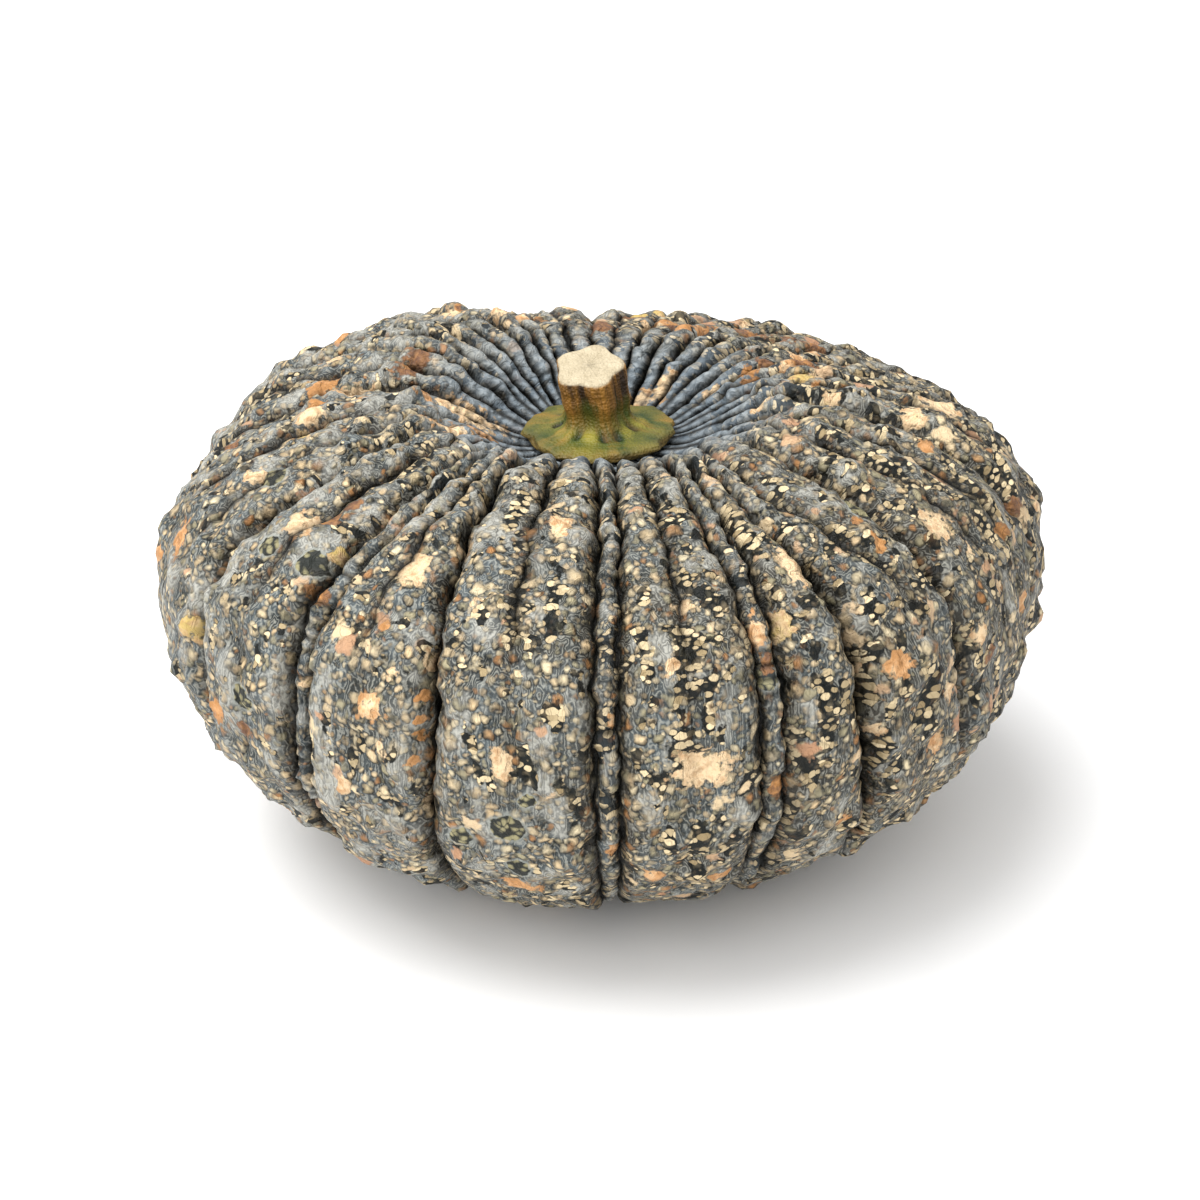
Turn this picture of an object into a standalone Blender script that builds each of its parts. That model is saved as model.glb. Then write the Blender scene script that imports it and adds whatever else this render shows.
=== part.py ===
"""A ribbed, knobbly grey-green pumpkin, lying as picked with its cut stem upright.

Two solids: the fruit, grown in one piece, and the stem with its spread foot.
Metres, +Z up, origin on the floor under the middle of the fruit. The side with the
narrow middle cord faces -Y.

The fruit is a round crest outline, turned about Z, into which furrows are pressed.
Places on it are given by azimuth, in degrees from -Y towards +X, and by arc, the
distance along the crest from the stem's axis down to the blossom end.
"""

import math
import random

import bmesh
import bpy
from mathutils import Matrix, Vector

MM = 0.001

# The crest outline: the round shape that the ribs' tops touch.
FRUIT_RADIUS = 130 * MM
WAIST_HEIGHT = 85 * MM
CROWN_RISE = 58.4 * MM
CROWN_POWER = 2.54
BASE_DROP = 89 * MM
BASE_POWER = 2.2
SEAT_RADIUS = 13 * MM
CAVITY_RADIUS = 64 * MM
CAVITY_DEPTH = 22 * MM
BLOSSOM_RADIUS = 26 * MM
BLOSSOM_DEPTH = 5 * MM
BLOSSOM_CAP_RADIUS = 5 * MM
FRUIT_LEAN = math.radians(1.2)
FRUIT_CENTRE = Vector((-0.3 * MM, 2.2 * MM, 0.0))
OUTLINE_STEPS = 240

# Furrows: how deep they are, and where they run, at four arcs from stem to blossom.
STATION_ARCS = (26 * MM, 68 * MM, 150 * MM, 250 * MM)
DEEP = (3.2 * MM, 7.0 * MM, 11.5 * MM, 7.5 * MM)
CORD = (3.2 * MM, 5.5 * MM, 7.0 * MM, 5.0 * MM)
FADING = (3.0 * MM, 3.0 * MM, 0.8 * MM, 0.2 * MM)
FURROWS = (
    (DEEP, -176, -178, -179, -179),
    (FADING, -168, -170, -170, -170),
    (CORD, -162, -163, -162, -161),
    (CORD, -157, -157, -157, -157),
    (DEEP, -151, -148, -148, -148),
    (FADING, -146, -140, -139, -139),
    (DEEP, -140, -133, -131, -131),
    (FADING, -133, -126, -123, -123),
    (DEEP, -125, -119, -115, -115),
    (FADING, -114, -110, -106, -106),
    (FADING, -104, -100, -96, -96),
    (DEEP, -95, -89, -88, -88),
    (FADING, -82, -78, -77, -77),
    (FADING, -70, -67, -68, -69),
    (DEEP, -60, -58, -61, -65),
    (FADING, -52, -48, -50, -53),
    (CORD, -45, -39, -42, -48),
    (DEEP, -38, -34.5, -39.5, -46),
    (FADING, -32, -29, -31, -36),
    (DEEP, -26, -24, -21, -26),
    (FADING, -15, -12, -11, -12),
    (CORD, -5, 0, -1, -1),
    (CORD, 7, 4, 2, 2),
    (FADING, 15, 11, 10.5, 11),
    (CORD, 22, 18.5, 19.5, 20),
    (CORD, 28, 23, 22.5, 23.5),
    (DEEP, 34, 28, 33.5, 41),
    (FADING, 41, 32, 45, 50),
    (DEEP, 55, 48, 50.5, 58),
    (FADING, 68, 59, 62, 66),
    (FADING, 80, 71, 69, 71),
    (DEEP, 92, 82, 77, 78),
    (FADING, 99, 91, 86, 86),
    (FADING, 106, 99, 95, 95),
    (DEEP, 113, 107, 104, 104),
    (FADING, 120, 116, 114, 114),
    (CORD, 129, 125, 123, 123),
    (CORD, 137, 133, 128, 127),
    (FADING, 144, 141, 138, 137),
    (DEEP, 152, 150, 147, 147),
    (FADING, 160, 159, 156, 156),
    (DEEP, 168, 167, 165, 165),
    (FADING, 176, 175, 173, 173),
)
# The crest isn't quite round: how far it rises out at each azimuth, in degrees.
CREST_SWELLS = (
    (-168, -3.0 * MM),
    (-148, 3.0 * MM),
    (-120, 3.5 * MM),
    (-106, -0.5 * MM),
    (-97, -3.0 * MM),
    (-84, 1.8 * MM),
    (-60, 1.5 * MM),
    (-40, 0.0),
    (40, 0.0),
    (72, -1.5 * MM),
    (90, 0.5 * MM),
    (104, -1.5 * MM),
    (120, -3.5 * MM),
    (146, -4.0 * MM),
    (182, -4.5 * MM),
)
SWELL_ARCS = (30 * MM, 70 * MM)
SWELL_END_ARCS = (180 * MM, 240 * MM)
SMOOTH_SEAT_ARC = 17 * MM
FULL_FURROW_ARC = 27 * MM
RIB_ROUNDNESS = 2.1
RIB_FULLNESS = 0.55
CORD_WIDTH = math.radians(8)
CORD_SINK = 4.0 * MM
SINK_ARCS = (60 * MM, 130 * MM)

# Knobs: the low swellings that make the ribs' tops uneven.
KNOB_SEED = 11
KNOB_COUNT = 900
KNOB_RADII = (5 * MM, 10 * MM)
KNOB_HEIGHTS = (1.0 * MM, 3.0 * MM)
KNOB_FREE_ARC = 34 * MM

# The stem: a five-ridged stalk on a scalloped foot, cut off aslant.
STEM_RIDGES = 5
STEM_RIDGE_TURN = math.radians(20)
FOOT_SCALLOPS = 11
STEM_LEAN = math.radians(7)
CUT_TILT = math.radians(15)
CUT_ROLL = math.radians(4)
SEAT_GAP = 0.3 * MM
# Foot and stalk, from the floor side up: radius, height above the seat, ridge share, scallop share.
FOOT_UNDERSIDE_RADII = (6 * MM, 13 * MM, 17 * MM, 20.5 * MM)
STALK_RINGS = (
    (21.8 * MM, 2.6 * MM, 0.00, 0.050),
    (21.2 * MM, 3.8 * MM, 0.01, 0.045),
    (18.6 * MM, 4.4 * MM, 0.03, 0.035),
    (15.2 * MM, 4.6 * MM, 0.05, 0.020),
    (12.4 * MM, 5.6 * MM, 0.07, 0.010),
    (10.8 * MM, 8.0 * MM, 0.08, 0.0),
    (10.0 * MM, 11.0 * MM, 0.10, 0.0),
    (9.7 * MM, 14.0 * MM, 0.095, 0.0),
    (9.6 * MM, 17.0 * MM, 0.09, 0.0),
    (9.8 * MM, 19.5 * MM, 0.09, 0.0),
)
CUT_HEIGHT = 23.4 * MM
CUT_RADIUS = 9.7 * MM
CUT_BEVEL = 0.9 * MM

# Wide ribs get more columns: at least this width, in degrees at the waist, and the columns.
RIB_COLUMNS = ((11, 4), (4, 3), (0, 2))
FRUIT_ROWS = 45
STEM_COLUMNS = 40
SHARP_ANGLE = math.radians(50)

RIND_COLOUR = (0.16, 0.18, 0.17, 1.0)
STEM_COLOUR = (0.33, 0.30, 0.10, 1.0)
RIND_ROUGHNESS = 0.55
STEM_ROUGHNESS = 0.6


def clear_scene():
    """Remove everything that the file holds."""
    for thing in list(bpy.data.objects):
        bpy.data.objects.remove(thing, do_unlink=True)


def smooth_step(low, high, value):
    """0 below low, 1 above high, and a smooth ramp between them."""
    share = min(1.0, max(0.0, (value - low) / (high - low)))
    return share * share * (3 - 2 * share)


def between(low, high, share):
    """The value at this share of the way from low to high."""
    return low + (high - low) * share


def crown_height(radius):
    """Height of the crest above the floor, from the seat out to the waist."""
    dome = (1 - (radius / FRUIT_RADIUS) ** CROWN_POWER) ** (1 / CROWN_POWER)
    share = (radius - SEAT_RADIUS) / (CAVITY_RADIUS - SEAT_RADIUS)
    dip = 0.5 + 0.5 * math.cos(math.pi * min(1.0, max(0.0, share)))
    return WAIST_HEIGHT + CROWN_RISE * dome - CAVITY_DEPTH * dip


def base_height(radius):
    """Height of the crest above the floor, from the waist in to the blossom end."""
    bowl = (1 - (radius / FRUIT_RADIUS) ** BASE_POWER) ** (1 / BASE_POWER)
    height = max(0.0, WAIST_HEIGHT - BASE_DROP * bowl)
    return height + BLOSSOM_DEPTH * (1 - smooth_step(0, BLOSSOM_RADIUS, radius))


def crest_outline():
    """Dense points (arc, radius, height) along the crest, from the seat to the blossom end."""
    points = []
    for step in range(OUTLINE_STEPS + 1):
        turn = between(math.asin(SEAT_RADIUS / FRUIT_RADIUS), math.pi / 2, step / OUTLINE_STEPS)
        radius = FRUIT_RADIUS * math.sin(turn)
        points.append((radius, crown_height(radius)))
    for step in range(1, OUTLINE_STEPS + 1):
        turn = between(math.pi / 2, math.asin(BLOSSOM_CAP_RADIUS / FRUIT_RADIUS), step / OUTLINE_STEPS)
        radius = FRUIT_RADIUS * math.sin(turn)
        points.append((radius, base_height(radius)))
    arc = SEAT_RADIUS
    outline = [(arc, *points[0])]
    for last, point in zip(points, points[1:]):
        arc += math.dist(last, point)
        outline.append((arc, *point))
    return outline


def crest_at(outline, arc):
    """(radius, height, outward radius share, outward height share) at this arc."""
    index = 1
    while index < len(outline) - 1 and outline[index][0] < arc:
        index += 1
    before, after = outline[index - 1], outline[index]
    share = (arc - before[0]) / (after[0] - before[0])
    run, rise = after[1] - before[1], after[2] - before[2]
    length = math.hypot(run, rise)
    return (
        between(before[1], after[1], share),
        between(before[2], after[2], share),
        -rise / length,
        run / length,
    )


def along_stations(values, arc):
    """A value given at the four stations, smoothly followed to this arc."""
    result = values[0]
    for index in range(1, len(values)):
        step = smooth_step(STATION_ARCS[index - 1], STATION_ARCS[index], arc)
        result += (values[index] - values[index - 1]) * step
    return result


def furrow_azimuth(furrow, arc):
    """Where a furrow runs at this arc, in radians."""
    return math.radians(along_stations(furrow[1:], arc))


def furrow_depth(furrow, arc):
    """How far a furrow lies under the crest at this arc."""
    return along_stations(furrow[0], arc) * smooth_step(SMOOTH_SEAT_ARC, FULL_FURROW_ARC, arc)


def crest_swell(azimuth, arc):
    """How far the crest rises out of the round outline at this place."""
    turned = (math.degrees(azimuth) - CREST_SWELLS[0][0]) % 360 + CREST_SWELLS[0][0]
    before, after = CREST_SWELLS[-1], (CREST_SWELLS[0][0] + 360, CREST_SWELLS[0][1])
    for start, end in zip(CREST_SWELLS, CREST_SWELLS[1:]):
        if start[0] <= turned < end[0]:
            before, after = start, end
    swell = between(before[1], after[1], smooth_step(before[0], after[0], turned))
    return swell * smooth_step(*SWELL_ARCS, arc) * (1 - smooth_step(*SWELL_END_ARCS, arc))


def rib_depth(across, width, arc, left_depth, right_depth):
    """How far the skin lies under the crest; across runs from -1 to 1 over one rib."""
    narrowness = 1 - smooth_step(0, CORD_WIDTH, width)
    sink = min(CORD_SINK * narrowness * smooth_step(*SINK_ARCS, arc), left_depth, right_depth)
    edge_depth = left_depth if across < 0 else right_depth
    fall = 1 - (1 - abs(across) ** RIB_ROUNDNESS) ** RIB_FULLNESS
    return sink + (edge_depth - sink) * fall


def on_fruit(outline, azimuth, arc, depth):
    """The point this far under the crest, with the fruit's lean."""
    radius, height, out, up = crest_at(outline, arc)
    depth -= crest_swell(azimuth, arc)
    radius -= depth * out
    height -= depth * up
    point = Vector((radius * math.sin(azimuth), -radius * math.cos(azimuth), height))
    return lean(point)


def lean(point):
    """Turn a point as the whole fruit leans, about its waist."""
    waist = Vector((0, 0, WAIST_HEIGHT))
    return FRUIT_CENTRE + waist + Matrix.Rotation(-FRUIT_LEAN, 3, "Y") @ (point - waist)


def knobs(outline):
    """(centre, radius, height) of each low swelling, spread evenly over the skin."""
    draw = random.Random(KNOB_SEED)
    last_arc = outline[-1][0]
    made = []
    while len(made) < KNOB_COUNT:
        arc = draw.uniform(KNOB_FREE_ARC, last_arc)
        azimuth = draw.uniform(-math.pi, math.pi)
        radius = draw.uniform(*KNOB_RADII)
        height = draw.uniform(*KNOB_HEIGHTS)
        if draw.random() < crest_at(outline, arc)[0] / FRUIT_RADIUS:
            made.append((on_fruit(outline, azimuth, arc, 0), radius, height))
    return made


def knob_rise(point, swellings):
    """How far the highest swelling near a point lifts the skin there."""
    rise = 0.0
    for centre, radius, height in swellings:
        distance = (point - centre).length
        if distance < radius:
            rise = max(rise, height * (1 - smooth_step(0, radius, distance)))
    return rise


def columns_over(furrow, after):
    """How many columns the rib between two furrows gets."""
    width = (after[3] - furrow[3]) % 360
    return next(columns for least, columns in RIB_COLUMNS if width >= least)


def fruit_rings(outline, swellings):
    """Rings of points from the seat down to the blossom end."""
    first_arc, last_arc = outline[0][0], outline[-1][0]
    rings = []
    for row in range(FRUIT_ROWS + 1):
        arc = between(first_arc, last_arc, row / FRUIT_ROWS)
        ring = []
        for index, furrow in enumerate(FURROWS):
            after = FURROWS[(index + 1) % len(FURROWS)]
            start, end = furrow_azimuth(furrow, arc), furrow_azimuth(after, arc)
            width = (end - start) % math.tau
            columns = columns_over(furrow, after)
            for column in range(columns):
                across = math.sin(math.pi / 2 * (2 * column / columns - 1))
                depth = rib_depth(
                    across, width, arc, furrow_depth(furrow, arc), furrow_depth(after, arc)
                )
                azimuth = start + width * (across + 1) / 2
                swollen = knob_rise(on_fruit(outline, azimuth, arc, 0), swellings)
                ring.append(on_fruit(outline, azimuth, arc, depth - swollen))
        rings.append(ring)
    return rings


def skin_over(rings):
    """A closed mesh over rings of points, which run from the top of the solid to its foot."""
    mesh = bmesh.new()
    loops = [[mesh.verts.new(point) for point in ring] for ring in rings]
    for upper, lower in zip(loops, loops[1:]):
        for index in range(len(upper)):
            after = (index + 1) % len(upper)
            mesh.faces.new((upper[index], lower[index], lower[after], upper[after]))
    mesh.faces.new(loops[0])
    mesh.faces.new(reversed(loops[-1]))
    bmesh.ops.recalc_face_normals(mesh, faces=mesh.faces)
    return mesh


def make_fruit(outline):
    """The whole fruit, set flat on the floor where its ribs touch it."""
    rings = fruit_rings(outline, knobs(outline))
    for ring in rings:
        for point in ring:
            point.z = max(0.0, point.z)
    return finished("fruit", skin_over(rings), "rind", RIND_COLOUR, RIND_ROUGHNESS)


def stem_ring(radius, height, ridge, scallop):
    """One ring round the leaning stalk; height is above the fruit's seat."""
    ring = []
    for column in range(STEM_COLUMNS):
        azimuth = math.tau * column / STEM_COLUMNS
        swing = ridge * math.cos(STEM_RIDGES * (azimuth - STEM_RIDGE_TURN))
        swing += scallop * math.cos(FOOT_SCALLOPS * azimuth)
        reach = radius * (1 + swing)
        side = -height * math.tan(STEM_LEAN)
        ring.append(Vector((side + reach * math.sin(azimuth), -reach * math.cos(azimuth), height)))
    return ring


def foot_ring(radius):
    """One ring of the foot's underside, a gap above the seat that it sits on."""
    ring = []
    for column in range(STEM_COLUMNS):
        azimuth = math.tau * column / STEM_COLUMNS
        height = crown_height(max(radius, SEAT_RADIUS)) - crown_height(SEAT_RADIUS) + SEAT_GAP
        ring.append(Vector((radius * math.sin(azimuth), -radius * math.cos(azimuth), height)))
    return ring


def cut_ring(radius, drop):
    """A ring in the slanting plane of the cut, this far under the cut face."""
    ring = stem_ring(radius, CUT_HEIGHT, STALK_RINGS[-1][2], 0)
    middle = sum(ring, Vector()) / len(ring)
    for point in ring:
        aside = point - middle
        point.z = CUT_HEIGHT - drop + aside.y * math.tan(CUT_TILT) + aside.x * math.tan(CUT_ROLL)
    return ring


def make_stem():
    """The foot and the stalk as one solid, on the fruit's seat."""
    rings = [cut_ring(CUT_RADIUS - CUT_BEVEL, 0), cut_ring(CUT_RADIUS, CUT_BEVEL)]
    rings += [stem_ring(*ring) for ring in reversed(STALK_RINGS)]
    rings += [foot_ring(radius) for radius in reversed(FOOT_UNDERSIDE_RADII)]
    seat = Vector((0, 0, crown_height(SEAT_RADIUS)))
    rings = [[lean(seat + point) for point in ring] for ring in rings]
    return finished("stem", skin_over(rings), "stem", STEM_COLOUR, STEM_ROUGHNESS)


def finished(name, mesh, material_name, colour, roughness):
    """Put a bmesh in the scene as a smooth-shaded object with its own material."""
    data = bpy.data.meshes.new(name)
    mesh.to_mesh(data)
    mesh.free()
    data.shade_smooth()
    data.set_sharp_from_angle(angle=SHARP_ANGLE)
    material = bpy.data.materials.new(material_name)
    material.use_nodes = True
    shader = material.node_tree.nodes["Principled BSDF"]
    shader.inputs["Base Color"].default_value = colour
    shader.inputs["Roughness"].default_value = roughness
    shader.inputs["Metallic"].default_value = 0.0
    data.materials.append(material)
    thing = bpy.data.objects.new(name, data)
    bpy.context.scene.collection.objects.link(thing)
    return thing


def main():
    clear_scene()
    make_fruit(crest_outline())
    make_stem()


main()
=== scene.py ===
"""A flattened, ribbed pumpkin with a beaded blue-grey rind and a short cut stem.

Units are metres. The floor is z = 0, the crown is up and the front of the fruit faces -Y. A place on the
fruit is an azimuth, in degrees from the front towards +X, and an arc, the length along the crest from the
stem's axis.
"""

import math
import random

import bpy
import numpy as np
from bpy.props import FloatProperty, FloatVectorProperty, IntProperty, PointerProperty
from mathutils import Matrix, Vector


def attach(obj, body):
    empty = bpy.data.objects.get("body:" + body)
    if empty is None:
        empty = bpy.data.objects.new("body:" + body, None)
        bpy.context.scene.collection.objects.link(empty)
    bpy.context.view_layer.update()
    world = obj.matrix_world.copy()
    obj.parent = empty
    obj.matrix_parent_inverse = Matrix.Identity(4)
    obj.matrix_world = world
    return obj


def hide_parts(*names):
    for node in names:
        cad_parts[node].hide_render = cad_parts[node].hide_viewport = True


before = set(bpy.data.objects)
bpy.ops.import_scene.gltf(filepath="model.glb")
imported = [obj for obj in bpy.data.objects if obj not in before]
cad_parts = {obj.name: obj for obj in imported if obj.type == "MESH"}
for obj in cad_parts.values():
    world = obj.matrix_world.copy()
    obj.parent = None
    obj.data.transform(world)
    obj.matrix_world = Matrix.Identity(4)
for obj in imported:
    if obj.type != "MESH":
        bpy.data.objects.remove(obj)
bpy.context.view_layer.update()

bl_info = {
    "name": "Ribbed pumpkin",
    "version": (1, 0, 0),
    "blender": (4, 5, 0),
    "location": "3D View > Sidebar > Pumpkin",
    "description": "Builds a ribbed pumpkin with its beaded rind, its stem and a pale studio round it",
    "category": "Object",
}

MM = 0.001

# The crest outline: the round shape that the ribs' tops touch.
FRUIT_RADIUS = 130 * MM
WAIST_HEIGHT = 85 * MM
CROWN_RISE = 58.4 * MM
CROWN_POWER = 2.54
BASE_DROP = 89 * MM
BASE_POWER = 2.2
SEAT_RADIUS = 13 * MM
CAVITY_RADIUS = 64 * MM
CAVITY_DEPTH = 22 * MM
BLOSSOM_RADIUS = 26 * MM
BLOSSOM_DEPTH = 5 * MM
BLOSSOM_CAP_RADIUS = 5 * MM
FRUIT_LEAN = math.radians(1.2)
FRUIT_CENTRE = Vector((-0.3 * MM, 2.2 * MM, 0.0))
OUTLINE_STEPS = 240

# Furrows: how deep they are, and where they run, at four arcs from stem to blossom.
STATION_ARCS = (26 * MM, 68 * MM, 150 * MM, 250 * MM)
DEEP = (3.2 * MM, 7.0 * MM, 11.5 * MM, 7.5 * MM)
CORD = (3.2 * MM, 5.5 * MM, 7.0 * MM, 5.0 * MM)
FADING = (3.0 * MM, 3.0 * MM, 0.8 * MM, 0.2 * MM)
FURROWS = (
    (DEEP, -176, -178, -179, -179), (FADING, -168, -170, -170, -170),
    (CORD, -162, -163, -162, -161), (CORD, -157, -157, -157, -157),
    (DEEP, -151, -148, -148, -148), (FADING, -146, -140, -139, -139),
    (DEEP, -140, -133, -131, -131), (FADING, -133, -126, -123, -123),
    (DEEP, -125, -119, -115, -115), (FADING, -114, -110, -106, -106),
    (FADING, -104, -100, -96, -96), (DEEP, -95, -89, -88, -88),
    (FADING, -82, -78, -77, -77), (FADING, -70, -67, -68, -69),
    (DEEP, -60, -58, -61, -65), (FADING, -52, -48, -50, -53),
    (CORD, -45, -39, -42, -48), (DEEP, -38, -34.5, -39.5, -46),
    (FADING, -32, -29, -31, -36), (DEEP, -26, -24, -21, -26),
    (FADING, -15, -12, -11, -12), (CORD, -5, 0, -1, -1),
    (CORD, 7, 4, 2, 2), (FADING, 15, 11, 10.5, 11),
    (CORD, 22, 18.5, 19.5, 20), (CORD, 28, 23, 22.5, 23.5),
    (DEEP, 34, 28, 33.5, 41), (FADING, 41, 32, 45, 50),
    (DEEP, 55, 48, 50.5, 58), (FADING, 68, 59, 62, 66),
    (FADING, 80, 71, 69, 71), (DEEP, 92, 82, 77, 78),
    (FADING, 99, 91, 86, 86), (FADING, 106, 99, 95, 95),
    (DEEP, 113, 107, 104, 104), (FADING, 120, 116, 114, 114),
    (CORD, 129, 125, 123, 123), (CORD, 137, 133, 128, 127),
    (FADING, 144, 141, 138, 137), (DEEP, 152, 150, 147, 147),
    (FADING, 160, 159, 156, 156), (DEEP, 168, 167, 165, 165),
    (FADING, 176, 175, 173, 173),
)
# The crest isn't quite round: how far it rises out at each azimuth, in degrees.
CREST_SWELLS = (
    (-168, -3.0 * MM),
    (-148, 3.0 * MM),
    (-120, 3.5 * MM),
    (-106, -0.5 * MM),
    (-97, -3.0 * MM),
    (-84, 1.8 * MM),
    (-60, 1.5 * MM),
    (-40, 0.0),
    (40, 0.0),
    (72, -1.5 * MM),
    (90, 0.5 * MM),
    (104, -1.5 * MM),
    (120, -3.5 * MM),
    (146, -4.0 * MM),
    (182, -4.5 * MM),
)
SWELL_ARCS = (30 * MM, 70 * MM)
SWELL_END_ARCS = (180 * MM, 240 * MM)
SMOOTH_SEAT_ARC = 17 * MM
FULL_FURROW_ARC = 27 * MM
RIB_ROUNDNESS = 2.1
RIB_FULLNESS = 0.55
CORD_WIDTH = math.radians(8)
CORD_SINK = 4.0 * MM
SINK_ARCS = (60 * MM, 130 * MM)

# Knobs: the low swellings that make the ribs' tops uneven.
KNOB_SEED = 11
KNOB_COUNT = 900
KNOB_RADII = (5 * MM, 10 * MM)
KNOB_HEIGHTS = (1.0 * MM, 3.0 * MM)
KNOB_FREE_ARC = 34 * MM
KNOB_WINDOW = 1.5

# What the finish reads from the form.
LEAST_DARK_FURROW = 0.3 * MM
FULL_DARK_FURROW = 1.8 * MM
FURROW_SHADE_REACH = 0.8 * MM
RIB_FLANK = (0.5, 0.97)
CROWN_ARCS = (34 * MM, 68 * MM)
SHOULDER_ARCS = (60 * MM, 120 * MM)
SEAT_SHADE_ARCS = (46 * MM, 24 * MM)
LAY_STRETCH = 2.2
STIR_LENGTH = 3.2 * MM
STIR_REACH = 2.4 * MM
SWELL_LENGTH = 8 * MM
SWELL_REACH = 0.9 * MM
WART_HEIGHT = 0.8 * MM
# Beads: the cells that they grow in, how high the small and the large ones stand, how many cells stay empty,
# and how much closer they crowd along the furrows.
FINE_BEAD_CELL = 2.3 * MM
SMALL_BEAD_CELL = 3.6 * MM
LARGE_BEAD_CELL = 6.4 * MM
NEST_CELL = 3.0 * MM
BEAD_HEIGHTS = (0.35 * MM, 0.9 * MM)
BEAD_LEASTS = (-0.15, 0.30)
EDGE_CROWDING = 0.4
FLECK_CELL = 11 * MM
RIPPLE_LENGTH = 3.8 * MM
SEAM_WELD = 0.005 * MM
RIND_IOR = 1.3
STEM_IOR = 1.45
# The camera, and the soft lights: place, width and share of the key light's power.
CAMERA_AIM = (-0.3 * MM, 2.2 * MM, 85 * MM)
CAMERA_ELEVATION = math.radians(25)
CAMERA_DISTANCE = 0.91
CAMERA_SENSOR = 36.0
CAMERA_LENS = 92.19
CAMERA_SHIFT = (-3 / 1200, -47 / 1200)
KEY_LIGHTS = (((-0.6, -0.15, 1.7), 1.6, 1.2), ((-0.75, -1.6, 1.25), 1.6, 0.64))
# The stem: a five-ridged stalk on a scalloped foot, cut off aslant.
STEM_RIDGES = 5
STEM_RIDGE_TURN = math.radians(20)
STEM_LEAN = math.radians(7)
CUT_TILT = math.radians(15)
CUT_ROLL = math.radians(4)
SEAT_GAP = 0.3 * MM
# Foot and stalk, from the floor side up: radius, height above the seat, ridge share, scallop share.
FOOT_UNDERSIDE_RADII = (6 * MM, 13 * MM, 17 * MM, 20.5 * MM)
STALK_RINGS = (
    (21.8 * MM, 2.6 * MM, 0.00, 0.050),
    (21.2 * MM, 3.8 * MM, 0.01, 0.045),
    (18.6 * MM, 4.4 * MM, 0.03, 0.035),
    (15.2 * MM, 4.6 * MM, 0.05, 0.020),
    (12.4 * MM, 5.6 * MM, 0.07, 0.010),
    (10.8 * MM, 8.0 * MM, 0.08, 0.0),
    (10.0 * MM, 11.0 * MM, 0.10, 0.0),
    (9.7 * MM, 14.0 * MM, 0.095, 0.0),
    (9.6 * MM, 17.0 * MM, 0.09, 0.0),
    (9.8 * MM, 19.5 * MM, 0.09, 0.0),
)
CUT_HEIGHT = 23.4 * MM
CUT_RADIUS = 9.7 * MM
CUT_BEVEL = 0.9 * MM

# The rind's mesh: its columns and rows, and how many columns every rib has at the least.
SKIN_COLUMNS = 520
SKIN_ROWS = 190
LEAST_RIB_COLUMNS = 3
# Rows lie closer on the crown: share of the rows, and the arc reached there.
ROW_SHARES = (0.0, 0.02, 0.10, 0.42, 1.0)
ROW_ARCS = (0.0, 12 * MM, 24 * MM, 95 * MM)
# How far the skin without beads lies under the crest, so that the beads stay inside the solid's outline.
BEAD_ROOM = 1.9 * MM
# Wide ribs bulge over their furrows more than the solid shows.
WIDE_RIB_BULGE = 0.4
# Furrows wander a little: how far, and over what length.
WANDERS = ((0.3 * MM, 19 * MM), (0.2 * MM, 7 * MM))
WANDER_STRETCHES = (0.8, 1.3)
LEAST_WANDER_TURN = 0.15
WANDER_SEED = 5
# The furrows cut deeper on the crown than the solid shows.
CROWN_DEEPENING = 0.7
DEEPENING_ARCS = (24 * MM, 40 * MM, 80 * MM, 120 * MM)
# The furrows behind the stem show less at the crest: the share left there, and from and to which azimuth.
BACK_SHARE = 0.45
BACK_AZIMUTHS = (math.radians(150), math.radians(172))
# Every second furrow fades out between these arcs, so that few wide cords reach the stem.
FADING_ARCS = (28 * MM, 50 * MM)
# Creases across the ribs cut the crown's cords into segments.
CREASE_SEED = 8
CREASE_STEPS = (4 * MM, 13 * MM)
CREASE_DEPTHS = (0.15 * MM, 0.8 * MM)
CREASE_HALF_WIDTH = 1.1 * MM
CREASE_SLANT = 2.5 * MM
CREASE_END_ARCS = (70 * MM, 110 * MM)
LEAST_CREASE_SHARE = 0.25
CREASE_FLANK = (0.75, 1.0)
# The narrow cords are chains of short pebbles.
PEBBLE_STEPS = (3 * MM, 7 * MM)
PEBBLE_CREASE = 1.3 * MM
PEBBLE_WIDTH = 0.9 * MM
PEBBLE_ARCS = (65 * MM, 95 * MM)

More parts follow.
